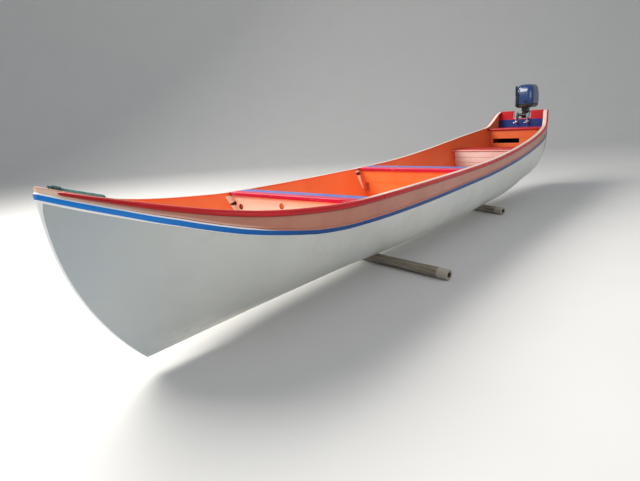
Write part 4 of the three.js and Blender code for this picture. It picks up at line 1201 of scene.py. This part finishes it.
def cream_look():
    """Cream paint, with the orange behind showing on the rim of the hand hole near the middle, and painted
    shade, near black, on the rims of the two towards starboard.
    """
    look = paint("bulkhead_paint", (0.96, 0.92, 0.78), (0.94, 0.88, 0.7), 0.4, dirt_share=0.12)
    colour = look.colour()
    for y, z, radius in HAND_HOLES:
        across = look.maths("SUBTRACT", look.axis("Y"), y / 1000)
        up = look.maths("SUBTRACT", look.axis("Z"), (z + KEEL_Z) / 1000)
        square = look.maths("MULTIPLY_ADD", across, across, look.both(up, up))
        rim = look.step(look.maths("SQRT", square), (radius + 1.5) / 1000, (radius + 0.5) / 1000)
        # Painted shade: the rims of the two holes towards starboard are near black.
        colour = look.mix(rim, colour, (0.75, 0.16, 0.05) if y > -100 else (0.09, 0.04, 0.025))
    look.set(colour=colour)
    return look.material


def crosswise(name, node, x0, x1, low, high, holes, edge, slot, look):
    """A board that fills the hull from side to side."""
    thing = board(name, room_outline(x0, low, high), holes, x0, x1, edge)
    dress(thing, "canoe", [node], slot, look)


def bulkheads(cream, orange):
    """The boards under the thwarts, with their beads and gussets."""
    round_holes = [round_loop(*hole) for hole in HAND_HOLES]
    hatch = [round_corners(*HATCH, 8, 6)]
    for (name, front, _), holes, look, slot in ((THWARTS[0], round_holes, cream, "bulkhead_cream"),
                                                (THWARTS[1], hatch, orange, "inside_orange")):
        x1 = front - LIP_SETBACK
        x0 = x1 - BULKHEAD_THICK
        top = sheer_at(x0)[1] + CAP_HIGH - THWART_THICK - 0.6
        crosswise(f"bulkhead_board_{name}", f"bulkhead_{name}", x0, x1, 12, top, holes, 2, slot, look)
        cove(f"cove_{name}_fore", x1, 12, top, 1, look, 8)
        gusset(f"gusset_{name}", x1, top, cream)
        cove(f"cove_{name}_aft", x0, 12, top, -1, orange)


SEAT_X = 1372
SEAT_DEPTH = 330
SEAT_Z = 660
SEAT_THICK = 24
SEAT_LIP = 22
BOARD_GAP = 1.2


def floor_at(x):
    """Height of the hull's inside on its middle line."""
    return station_at(x).inner[0, 2]


def flat_board(name, x0, x1, low, high, edge):
    """A level board whose ends follow the inside of the hull."""
    rings = []
    for x in np.linspace(x0, x1, 7):
        inside = station_at(x).inner
        side = [(room_half(inside, z) - BOARD_GAP, z) for z in (low, high)]
        rings.append([(x, y, z) for y, z in mirrored(side)])
    return bevelled(loft(name, rings), edge)


def seat_top_look():
    """Red on top, with the front edge painted like the panel below it."""
    look = paint("seat_paint", *RED, 0.32)
    pale = look.mix(look.patches(0.3, 0.7, 5, 5, 0.6), (0.78, 0.5, 0.46), (0.68, 0.4, 0.37))
    level = look.maths("ADD", look.axis("Z"), look.ripple(0.004, -0.002, 14, 3, 0.5))
    top = (SEAT_Z + KEEL_Z) / 1000
    below = look.step(level, top - 0.0055, top - 0.0075)
    edge = (SEAT_X - MIDDLE_X) / 1000
    front = look.step(look.axis("X"), edge + 0.014, edge + 0.015)
    look.set(colour=look.mix(look.both(below, front), look.colour(), pale))
    return look.material


def seat(orange, panel_look):
    """The box seat across the hull, with the panel on its front."""
    low = SEAT_Z - SEAT_THICK
    back = SEAT_X - SEAT_DEPTH
    for name, x1 in (("front", SEAT_X), ("back", back + BULKHEAD_THICK)):
        x0 = x1 - BULKHEAD_THICK
        crosswise(f"seat_board_{name}", f"seat_{name}", x0, x1, floor_at(x0) + 3, low - 0.3, [], 1.5,
                  "inside_orange", orange)
    cove("cove_seat_front", SEAT_X, floor_at(SEAT_X) + 1, low, 1, orange)
    cove("cove_seat_back", back, floor_at(back) + 1, low, -1, orange)
    top = flat_board("seat_top_board", back, SEAT_X + SEAT_LIP, low, SEAT_Z, 5)
    dress(top, "canoe", ["seat_top"], "rail_red", seat_top_look())
    panel(panel_look)


PANEL = {"low": 402, "high": 632, "corner": 110, "thick": 12, "groove": 9, "deep": 5, "side": 40}
PANEL_GROOVES = (0.36, 0.66)


def panel(look):
    """The grooved front of the seat, as three planks on one back."""
    low, high, corner = PANEL["low"], PANEL["high"], PANEL["corner"]
    half = room_half(station_at(SEAT_X).inner, low + corner) - PANEL["side"] / 2
    near = SEAT_X + 0.3
    face = near + PANEL["thick"]
    upper, lower = (high - share * (high - low) for share in PANEL_GROOVES)
    groove = PANEL["groove"] / 2

    def plank(name, z0, z1, steps, inset, front, edge):
        side = []
        for z in np.linspace(z0, z1, steps):
            rise = max(0.0, low + corner - z)
            side.append((half - corner + math.sqrt(max(0.0, corner**2 - rise**2)) - inset, z))
        return board(name, mirrored(side), [], near, front, edge)

    bands = [(low, lower - groove), (lower + groove, upper - groove), (upper + groove, high)]
    made = [plank("plank", z0, z1, 14, 0, face, 2) for z0, z1 in bands]
    made.append(plank("back", low + 4, high - 3, 30, 3, face - PANEL["deep"], 0.5))
    dress(joined("seat_panel_planks", made, 30), "canoe", ["seat_panel"], "hull_white", look)


STERN_DECK_X = 362
STERN_DECK_Z = 872
STERN_DECK_THICK = 26
STERN_BULKHEAD_X = 340
LOCKER = (-330, 62, 655, 722)


def stern(orange, red):
    """The deck ahead of the transom and the board under its edge, with the locker's opening."""
    low = STERN_DECK_Z - STERN_DECK_THICK
    deck = flat_board("stern_deck_board", TRANSOM_THICK + 0.5, STERN_DECK_X, low, STERN_DECK_Z, 6)
    dress(deck, "canoe", ["stern_deck"], "rail_red", red)
    x1 = STERN_BULKHEAD_X
    x0 = x1 - BULKHEAD_THICK
    opening = [round_corners(*LOCKER, 10, 6)]
    crosswise("stern_bulkhead_board", "stern_bulkhead", x0, x1, floor_at(x0) + 3, low - 0.3, opening, 2,
              "inside_orange", orange)
    cove("cove_stern", x1, floor_at(x1) + 1, low, 1, orange)


TRANSOM_TOP = 1110
NOTCH_HALF = 122
NOTCH_Z = 1000
TRANSOM_CORNER = 26


def transom_outline():
    """The transom's edge, with the notch that the outboard hangs in."""
    port = [(y, z) for y, z in half_section(SECTIONS[0], 60) if z < TRANSOM_TOP - 2 * TRANSOM_CORNER]
    edge = SECTIONS[0][3]
    corner = [(edge - TRANSOM_CORNER * (1 - math.cos(q)), TRANSOM_TOP - TRANSOM_CORNER * (1 - math.sin(q)))
              for q in np.linspace(0, math.pi / 2, 9)]
    notch = [(NOTCH_HALF + 10 - 10 * math.sin(q), TRANSOM_TOP - 10 + 10 * math.cos(q))
             for q in np.linspace(0, 1.4, 6)]
    foot = [(NOTCH_HALF - 8 - 12 * (1 - math.cos(q)), NOTCH_Z + 12 * (1 - math.sin(q)))
            for q in np.linspace(0, math.pi / 2, 6)]
    return mirrored(port + corner + notch + foot)


def transom_look():
    """White outside, with a red head and a dark blue band on the inner face."""
    look = Look("transom_paint")
    tone = look.patches(0.3, 0.7, 5, 5, 0.6)
    white = look.mix(tone, (0.64, 0.65, 0.62), (0.56, 0.58, 0.57))
    red = look.mix(tone, (0.5, 0.012, 0.02), (0.4, 0.01, 0.016))
    navy = look.mix(tone, (0.012, 0.03, 0.16), (0.018, 0.045, 0.2))
    height = look.axis("Z")
    level = look.maths("ADD", height, look.ripple(0.006, -0.003, 12, 3, 0.5))
    inner = look.mix(look.step(level, 1.08, 1.083), navy, red)
    outer = look.mix(look.step(level, 1.16, 1.163), white, red)
    colour = look.mix(look.step(look.axis("X"), -3.298, -3.296), outer, inner)
    side = look.maths("ABSOLUTE", look.axis("Y"))
    within = look.step(side, (NOTCH_HALF + 1.5) / 1000, (NOTCH_HALF + 0.5) / 1000)
    ledge = (NOTCH_Z + KEEL_Z) / 1000
    over = look.step(height, ledge - 0.0015, ledge - 0.0005)
    colour = look.mix(look.both(within, over), colour, white)
    colour = look.cover(colour, look.patches(0.55, 0.8, 9, 7, 0.65), 0.3, (0.25, 0.2, 0.17))
    look.set(colour=colour, rough=look.ripple(0.3, 0.35, 12, 5, 0.6), coat=0.05, coat_rough=0.3,
             specular=0.2, normal=look.bump(look.noise(6, 3, 0.5), 0.001))
    return look.material


def transom():
    thing = board("transom_board", transom_outline(), [], 0, TRANSOM_THICK - 0.3, 4)
    dress(thing, "canoe", ["transom"], "rail_red", transom_look())


# The outboard

TILT_X = -15
TILT_Z = 1048
STEER_X = -78
CLAMP_IN = 74
CLAMP_THICK = 14
CLAMP_WEB = 8
SWIVEL_LOW = 792
SWIVEL_HIGH = 1092
YOKE_Z = SWIVEL_HIGH + 6
PAN_LOW = 1150
PAN_HIGH = 1208
LEG_FRONT = -118
PLATE_Z = 425
SHAFT_Z = 258
SKEG_Z = 118
SCREW_Z = 948
GEARCASE_AFT = -330


# A clamp plate from the side, in x and height. Edges 1 to 3 lie against the transom and have no rim.
CLAMP_OUTLINE = [(-34, 822), (-0.3, 822), (-0.3, NOTCH_Z + 0.3), (52, NOTCH_Z + 0.3), (52, 922), (78, 922),
                 (80, 1040), (60, 1064), (10, 1080), (-24, 1080), (-40, 1062)]
THREAD_PITCH = 0.8
THREAD_END = 66


def clamps(cast_metal, plated):
    """The clamp plates with their screws, and the tube that the motor tilts about."""
    thread = [(s, 7.6 if int(s / THREAD_PITCH) % 2 else 6.9) for s in np.arange(0, THREAD_END, THREAD_PITCH)]
    for name, side in SIDES:
        y = side * (CLAMP_IN + CLAMP_THICK / 2)
        made = [side_slab(CLAMP_OUTLINE, y - CLAMP_WEB / 2, y + CLAMP_WEB / 2)]
        corners = list(zip(CLAMP_OUTLINE, CLAMP_OUTLINE[1:] + CLAMP_OUTLINE[:1]))
        made += [cylinder((x0, y, z0), (x1, y, z1), 5.5, 16)
                 for (x0, z0), (x1, z1) in corners[:1] + corners[4:]]
        made.append(cylinder((53, y, SCREW_Z), (84, y, SCREW_Z), 15))
        made.append(cylinder((TILT_X, y - 8, TILT_Z), (TILT_X, y + 8, TILT_Z), 19))
        made += [cylinder((-17, y - 8, z), (-17, y + 8, z), 6, 6) for z in (850, 905, 985)]
        thing = cast(f"clamp_cast_{name}", made, 0.0019)
        dress(thing, "canoe", [f"clamp_plate_{name}"], "clamp_metal", cast_metal)
        pad = lathe((TRANSOM_THICK + 0.3, y, SCREW_Z), (1, 0, 0),
                    [(0, 0), (0, 19), (3, 19), (6, 12), (9, 9), (12, 8)], 32)
        shaft = lathe((TRANSOM_THICK + 8, y, SCREW_Z), (1, 0, 0), [(0, 0), *thread, (THREAD_END, 0)], 20)
        handle = lathe((118, y - 26, SCREW_Z - 14), (0, 52, 28),
                       [(0, 0), (0, 6), (3, 7), (8, 5), (29, 5), (51, 5), (56, 7), (59, 6), (59, 0)], 20)
        eye = cylinder((110, y, SCREW_Z), (126, y, SCREW_Z), 9, 24)
        thing = joined(f"clamp_screw_set_{name}", [pad, shaft, handle, eye], 40)
        dress(thing, "canoe", [f"clamp_screw_{name}"], "screw_metal", plated)
    half = CLAMP_IN + CLAMP_THICK + 12
    port = [(0, 0), (0, 7), (1.5, 9), (10, 9), (10.5, 11.5), (12.5, 11.5), (12.5, 9)]
    tube = lathe((TILT_X, -half, TILT_Z), (0, 1, 0), port + [(2 * half - s, r) for s, r in port[::-1]], 32)
    dress(tube, "canoe", ["tilt_tube"], "screw_metal", plated)


def swivel(black):
    """The bracket that tilts on the tube and carries the steering spindle."""
    reach = CLAMP_IN - 6
    fore, aft = TILT_X - 4, STEER_X - 8
    top = SWIVEL_HIGH - 8
    made = [cylinder((TILT_X, -reach, TILT_Z), (TILT_X, reach, TILT_Z), 21, 40),
            cylinder((STEER_X, 0, SWIVEL_LOW), (STEER_X, 0, SWIVEL_HIGH), 24, 40)]
    web = [(fore, TILT_Z + 16), (fore, TILT_Z - 16), (STEER_X + 8, 850), (aft, 850), (aft, top),
           (STEER_X + 10, top)]
    made += [side_slab(web, y - 4, y + 4) for y in (-30, 0, 30)]
    made.append(side_slab([(TILT_X - 10, TILT_Z + 8), (TILT_X - 10, TILT_Z - 8), (STEER_X - 4, 905),
                           (STEER_X - 4, SWIVEL_HIGH - 14)], -34, 34))
    made += [cylinder((STEER_X, 0, z), (STEER_X, 0, z + 14), 28, 40) for z in (SWIVEL_LOW, SWIVEL_HIGH - 14)]
    dress(cast("swivel_cast", made, 0.0024), "swivel", ["swivel_bracket"], "motor_black", black)


def rounded_body(name, rows, count=64, degrees=50):
    """Columns of the rows: height, aft x, front x, half width, corner radius."""
    rings = []
    for z, aft, front, half, corner in rows:
        corner = min(corner, half - 0.5, (front - aft) / 2 - 0.5)
        loop = round_corners(aft, front, -half, half, corner, count // 4 - 1)
        rings.append([(x, y, z) for x, y in loop])
    return loft(name, rings, degrees)


def upright(name, low, high, aft, front, half, corner, count=64):
    """A level slab with round corners between two heights."""
    return rounded_body(name, [(z, aft, front, half, corner) for z in (low, high)], count)


def smooth_rows(table, count):
    """Rows between a table's rows, on a smooth curve."""
    run = lengths(np.array(table, float)[:, :3] * [1, 0.6, 0.6])
    return smooth(table, run, count)


def spindle(black):
    """The steering spindle with its two yokes."""
    low, high = SWIVEL_LOW, SWIVEL_HIGH
    made = [cylinder((STEER_X, 0, low - 20), (STEER_X, 0, high + 20), 11),
            upright("yoke", YOKE_Z, PAN_LOW - 0.3, LEG_FRONT - 60, STEER_X + 34, 46, 22),
            upright("yoke", low - 36, low - 6, LEG_FRONT + 0.3, STEER_X + 26, 40, 20)]
    made += [cylinder((LEG_FRONT + 30, y, low - 37), (LEG_FRONT + 30, y, low - 5), 7, 6) for y in (-28, 28)]
    dress(cast("spindle_cast", made, 0.0022), "motor", ["steering_spindle"], "motor_black", black)


# Columns: height, aft x, front x, half width, corner radius
LEG_ROWS = [
    (PLATE_Z + 6, -238, -98, 21, 20),
    (PLATE_Z + 60, -232, -112, 25, 24),
    (620, -230, LEG_FRONT, 31, 28),
    (820, -236, LEG_FRONT, 42, 34),
    (YOKE_Z - 0.3, -246, LEG_FRONT, 56, 40),
]
RIB_ROWS = [(YOKE_Z - 30, -252, LEG_FRONT, 60, 42), (YOKE_Z - 0.3, -256, LEG_FRONT, 64, 44)]
# Columns: x, height, half width of the leg there
LEG_BOLTS = ((-150, 700, 36), (-205, 700, 36), (-150, 990, 51), (-205, 990, 51))


def motor_leg(black):
    """The leg with its upper rib, bolts and seam."""
    made = [rounded_body("leg", smooth_rows(LEG_ROWS, 60)),
            rounded_body("rib", RIB_ROWS)]
    made += [cylinder((x, side * 28, z), (x, side * (half + 3), z), 6.5, 6)
             for side in (-1, 1) for x, z, half in LEG_BOLTS]
    made.append(upright("seam", PLATE_Z + 40, PLATE_Z + 46, -238, -106, 27, 25))
    dress(cast("leg_cast", made, 0.0032), "motor", ["motor_leg"], "motor_black", black)


# Columns: distance from the aft end, radius
TORPEDO = [(0, 0), (0, 29), (4, 31), (30, 37), (60, 40), (90, 41), (160, 41), (190, 38.5), (210, 34),
           (226, 27), (238, 17), (244, 7), (245.5, 0)]
# Columns: height, aft x, front x, half width, corner radius
STRUT_ROWS = [
    (SHAFT_Z, -252, -108, 15, 14),
    (SHAFT_Z + 80, -246, -104, 17, 16),
    (PLATE_Z - 2, -244, -100, 20, 19),
]
SKEG_ROWS = [
    (SKEG_Z, -286, -232, 4, 3.5),
    (SKEG_Z + 50, -289, -196, 5.5, 5),
    (SHAFT_Z - 20, -292, -150, 7, 6),
]
TAB_ROWS = [(PLATE_Z - 40, -372, -330, 3, 2.5), (PLATE_Z - 7, -378, -318, 4.5, 4)]


def gearcase(black, zinc):
    """The gearcase with its plate, skeg, shaft and water slots, and the trim tab under the plate."""
    made = [lathe((GEARCASE_AFT, 0, SHAFT_Z), (1, 0, 0), TORPEDO, 48),
            rounded_body("strut", smooth_rows(STRUT_ROWS, 20)),
            upright("plate", PLATE_Z - 5.5, PLATE_Z + 5.5, -388, -62, 84, 60),
            rounded_body("skeg", smooth_rows(SKEG_ROWS, 16)),
            cylinder((GEARCASE_AFT + 10, 0, SHAFT_Z), (GEARCASE_AFT - 66, 0, SHAFT_Z), 8, 24)]
    made += [block(-170, -166, side * 14 - 9, side * 14 + 9, SHAFT_Z + 62 + up, SHAFT_Z + 66 + up)
             for side in (-1, 1) for up in (0, 10, 20, 30)]
    dress(cast("gearcase_cast", made, 0.0028), "motor", ["gearcase"], "motor_black", black)
    tab = rounded_body("trim_tab", TAB_ROWS, 32)
    dress(tab, "motor", [], "screw_metal", zinc)


# Columns: height, aft x, front x, half width, corner radius
PAN_ROWS = [
    (PAN_LOW, -330, 8, 98, 60),
    (PAN_LOW + 8, -342, 15, 110, 65),
    (PAN_LOW + 22, -352, 22, 122, 70),
    (PAN_HIGH - 3, -358, 26, 130, 74),
]
COWL_ROWS = [
    (PAN_HIGH + 2, -360, 28, 132, 75),
    (1250, -362.5, 27.5, 134, 76),
    (1300, -362, 25.5, 134, 76),
    (1350, -360, 20, 132, 76),
    (1395, -355, 12, 127, 76),
    (1430, -348, 1, 121, 75),
    (1455, -339, -11, 113, 73),
    (1472, -326, -26, 102, 70),
    (1484, -307, -48, 85, 62),
    (1490, -285, -72, 64, 50),
    (1492, -240, -120, 30, 26),
]


def cowl(blue, black, dark):
    """The cowl, the seal under it and the pan."""
    shell = rounded_body("cowl_shell", smooth_rows(COWL_ROWS, 70), 128, 60)
    dress(shell, "motor", ["motor_cowl"], "cowl_blue", blue)
    seal = upright("cowl_seal", PAN_HIGH - 3, PAN_HIGH + 2.2, -356, 24, 128, 72, 96)
    dress(seal, "motor", [], "pan_black", dark)
    pan = rounded_body("pan_tray", smooth_rows(PAN_ROWS, 20), 96)
    dress(pan, "motor", ["motor_pan"], "pan_black", black)


# The path of the carrying handle from its middle to its port end, in x and y
HANDLE_PATH = [(52, 0), (52, 26), (44, 42), (30, 46), (14, 46)]
HANDLE_Z = 1174


def tube_through(points, radius):
    """A round tube on a smooth path."""
    points = np.asarray(points, float)
    path = smooth(points, lengths(points), 60)
    ahead = heading(path)
    side = np.cross(ahead[0], [0.3, 0.2, 0.93])
    rings = []
    for place, way in zip(path, ahead):
        side = unit(side - way * np.dot(side, way))
        rings.append(place + circle(radius, side, np.cross(way, side), 20))
    return loft("tube", rings, 60)


STARTER_Z = 1250
TILLER_X = 52
TILLER_Y = -92
TILLER_Z = 1186


def controls(black, rubber):
    """The carrying handle, the starter's pull, and the folded tiller with its ribbed grip."""
    path = [(x, y, HANDLE_Z) for x, y in HANDLE_PATH]
    grip = tube_through(path[:0:-1] + [(x, -y, z) for x, y, z in path], 7)
    dress(grip, "motor", ["carry_handle"], "pan_black", black)
    stem = lathe((26, 30, STARTER_Z), (1, 0, 0),
                 [(0, 0), (0, 12), (2, 12), (4, 9), (8, 7), (20, 7), (20, 0)], 28)
    bar = lathe((50, 2, STARTER_Z), (0, 1, 0),
                [(0, 0), (0, 5), (2, 7.5), (8, 8.5), (28, 9), (48, 8.5), (54, 7.5), (56, 5), (56, 0)], 28)
    dress(joined("starter_grip", [stem, bar], 40), "motor", ["starter_pull"], "grip_rubber", rubber)
    foot = block(-6, TILLER_X + 12, TILLER_Y - 11, TILLER_Y + 11, TILLER_Z - 16, TILLER_Z + 16)
    arm = lathe((TILLER_X, TILLER_Y, TILLER_Z), (0, 0, 1),
                [(0, 0), (0, 14), (14, 14), (24, 13), (144, 11), (144, 0)], 32)
    dress(cast("tiller_cast", [foot, arm], 0.0018, 4), "motor", ["tiller_arm"], "pan_black", black)
    ribs = [(0, 0), (0, 12), (3, 15.5)]
    for s in np.arange(8, 128, 4):
        ribs += [(s, 15.7), (s + 1.4, 15.7), (s + 2, 14.4), (s + 3.4, 14.4)]
    ribs += [(134, 15), (138, 13), (140, 8), (140, 0)]
    grip = lathe((TILLER_X, TILLER_Y, TILLER_Z + 144.3), (0, 0, 1), ribs, 32)
    dress(grip, "motor", ["tiller_grip"], "grip_rubber", rubber)


# Columns: distance ahead to aft, radius
HUB = [(0, 9), (0, 25), (2, 27), (20, 27), (50, 25), (72, 23.5), (75, 21), (76, 18), (76, 9), (0, 9)]
# Columns: radius, half chord, pitch angle in degrees
BLADE = [(22, 27, 62), (40, 37, 52), (60, 43, 44), (80, 44, 37), (96, 37, 33), (106, 26, 31), (113, 13, 29),
         (115.5, 4, 28)]


def blade(middle, turn):
    """A cupped blade, turned about the shaft."""
    rings = []
    for radius, chord, pitch in BLADE:
        a = math.radians(pitch)
        thick = 3.6 - 2.4 * radius / 116
        ring = []
        for q in np.linspace(0, 2 * math.pi, 24, endpoint=False):
            s = chord * math.cos(q)
            t = thick * math.sin(q) * (1 if math.cos(q) < 0 else 0.8) + 2.5 * (s / 44) ** 2
            along = s * math.sin(a) + t * math.cos(a)
            side = s * math.cos(a) - t * math.sin(a)
            y = side * math.cos(turn) - radius * math.sin(turn)
            z = side * math.sin(turn) + radius * math.cos(turn)
            ring.append((middle + along, y, SHAFT_Z + z))
        rings.append(ring)
    return loft("blade", rings, 70)


def propeller(metal):
    """Three blades on a hub, and its nut."""
    aft = GEARCASE_AFT - 78
    front = GEARCASE_AFT - 2
    hub = lathe((front, 0, SHAFT_Z), (-1, 0, 0), HUB, 48)
    blades = [blade((front + aft) / 2, 2 * math.pi * n / 3) for n in range(3)]
    thing = joined("propeller_wheel", [hub, *blades], 50)
    dress(thing, "propeller", ["propeller"], "propeller_metal", metal)
    nut = lathe((aft + 7, 0, SHAFT_Z), (-1, 0, 0), [(0, 0), (0, 13), (8, 13), (9, 11), (9, 0)], 6)
    dress(nut, "propeller", [], "screw_metal", metal)


# Columns: name, x and y of the port end, x and y of the starboard end, seed
TIMBERS = [("middle", (4432, 828), (4118, -828), 3), ("aft", (1905, 385), (1500, -700), 8)]
TIMBER_SIDES = 120
CORE_RADIUS = 20.0
CORE_DEEP = 70
SAWN_END = 95


def timber(name, port, starboard, seed, look):
    """A log with flats, knots and shrinkage cracks; its port end is hollow at the core."""
    start = np.array([*port, -TIMBER_RADIUS - 0.3])
    end = np.array([*starboard, -TIMBER_RADIUS - 0.3])
    length = np.linalg.norm(end - start)
    along = unit(end - start)
    up = np.array([0, 0, 1.0])
    side = unit(np.cross(along, up))
    rng = np.random.default_rng(seed)
    q = np.linspace(0, 2 * math.pi, TIMBER_SIDES, endpoint=False)
    waves = [(rng.integers(1, 6), rng.uniform(0.4, 3), rng.uniform(0, 6.28), rng.uniform(0.2, 1.0))
             for _ in range(14)]
    cracks = [(rng.uniform(0, 6.28), rng.uniform(0, length), rng.uniform(120, 420)) for _ in range(9)]

    def radius_at(s):
        out = np.full(TIMBER_SIDES, TIMBER_RADIUS - 1.2)
        for lobes, rate, phase, size in waves:
            out -= 0.5 * size * (1 + np.sin(lobes * q + rate * s / 180 + phase))
        for angle, place, span in cracks:
            depth = 5 * np.exp(-((s - place) / span) ** 2)
            gap = np.angle(np.exp(1j * (q - angle - 0.02 * math.sin(s / 60))))
            out -= depth * np.exp(-(gap / 0.03) ** 2)
        return out

    rings, grain, pale, dark = [], [], [], []

    def ring(s, radius, shade=0.0, light=0.0):
        across, height = np.cos(q) * radius, np.sin(q) * radius
        rings.append(start + along * s + np.outer(across, side) + np.outer(height, up))
        lengthwise = np.full(TIMBER_SIDES, s / 1000 + seed)
        grain.append(np.stack([lengthwise, across / 1000, height / 1000], axis=1))
        dark.append(np.full(TIMBER_SIDES, shade))
        pale.append(np.full(TIMBER_SIDES, light))

    first = radius_at(0)
    ring(CORE_DEEP, 1.0, 1.0)
    ring(CORE_DEEP, CORE_RADIUS - 4, 1.0)
    ring(CORE_DEEP * 0.4, CORE_RADIUS - 1, 1.0)
    ring(3, CORE_RADIUS + rng.uniform(-1, 1, TIMBER_SIDES), 0.9)
    ring(0.5, CORE_RADIUS + 1.5, 0.5)
    for share in (0.25, 0.5, 0.75):
        ring(0, (CORE_RADIUS + 2) * (1 - share) + (first - 4) * share, 0.15, 0.2)
    ring(0, first - 4, 0.0, 0.3)
    ring(1.5, first - 1.2, 0.0, 0.5)
    for s in np.linspace(4, length - 4, 240):
        ring(s, radius_at(s), 0.0, 0.9 * min(1.0, max(0.0, 1 - (s - SAWN_END) / 12)))
    last = radius_at(length)
    ring(length - 1.5, last - 1.2)
    ring(length, last - 4)
    for share in (0.66, 0.33, 0.02):
        ring(length, (last - 4) * share, 0.2)
    thing = loft(f"log_{name}", rings, 55)
    attribute(thing.data, "grain", np.concatenate(grain), "FLOAT_VECTOR", "vector")
    attribute(thing.data, "pale", np.concatenate(pale))
    attribute(thing.data, "dark", np.concatenate(dark))
    dress(thing, "canoe", [f"timber_{name}"], "timber_grey", look)


# The stage

def stage():
    """A pale floor that curves up behind the boat."""
    curve = [(-9 - 5 * math.sin(q), 5 - 5 * math.cos(q)) for q in np.linspace(0.1, math.pi / 2, 14)]
    profile = [(14, 0), (-9, 0), *curve, (-14, 14)]
    way = np.array([-0.77, -0.64])
    side = np.array([0.64, -0.77])
    points, faces = [], []
    for s, z in profile:
        for t in (-30, 30):
            spot = -way * s + side * t
            points.append((spot[0], spot[1], z))
    for i in range(len(profile) - 1):
        faces.append((2 * i, 2 * i + 1, 2 * i + 3, 2 * i + 2))
    mesh = new_mesh("studio_floor", points, faces)
    for face in mesh.polygons:
        face.use_smooth = True
    look = Look("studio_floor")
    tone = look.mix(look.noise(1.5, 4, 0.5), (0.66, 0.655, 0.64), (0.7, 0.695, 0.68))
    look.set(colour=tone, rough=0.8)
    mesh.materials.append(look.material)
    link("studio_floor", mesh)


def everything():
    camera()
    colours()
    lights()
    stage()
    cream = cream_look()
    orange = inside_look("board_paint")
    red = paint("deck_paint", *RED, 0.32).material
    salmon = paint("bow_paint", (0.86, 0.52, 0.38), (0.78, 0.44, 0.31), 0.35).material
    panel_paint = paint("panel_paint", (0.74, 0.6, 0.56), (0.66, 0.5, 0.46), 0.4).material
    hull()
    belt()
    rails()
    caps(cap_look())
    # Painted highlight: the stem strip is much whiter than the hull, for the light on the stem's face.
    strip = paint("stem_highlight_paint", (0.97, 0.98, 0.98), (0.93, 0.94, 0.94), 0.3, dirt_share=0.05)
    stem_strip(strip.material)
    painter()
    bow_deck(salmon)
    for row in THWARTS:
        thwart(*row)
    bulkheads(cream, orange)
    seat(orange, panel_paint)
    stern(orange, red)
    transom()
    alloy = metal_look("cast_alloy", (0.62, 0.63, 0.64), (0.3, 0.3, 0.29), 0.42, metal=0.9)
    plated = metal_look("plated_steel", (0.68, 0.68, 0.67), (0.32, 0.27, 0.22), 0.28)
    black = motor_paint("motor_black", (0.012, 0.012, 0.014), (0.06, 0.056, 0.05), 0.36, 0.25, 0.0001)
    plastic = motor_paint("black_plastic", (0.014, 0.014, 0.015), (0.05, 0.047, 0.043), 0.42, 0.1, 0.00012)
    rubber = motor_paint("grip_rubber", (0.012, 0.012, 0.012), (0.045, 0.042, 0.038), 0.62, 0.0, 0.0001)
    blue = motor_paint("cowl_blue", (0.006, 0.035, 0.14), (0.02, 0.05, 0.13), 0.2, 0.6, 0.00002)
    bronze = metal_look("propeller_alloy", (0.58, 0.59, 0.6), (0.25, 0.25, 0.25), 0.34, metal=0.9)
    clamps(alloy, plated)
    swivel(black)
    spindle(black)
    motor_leg(black)
    gearcase(black, alloy)
    cowl(blue, plastic, rubber)
    controls(plastic, rubber)
    propeller(bronze)
    logs = timber_look()
    for row in TIMBERS:
        timber(*row, logs)
    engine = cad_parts["powerhead"]
    engine.data.materials.clear()
    engine.data.materials.append(alloy)


everything()
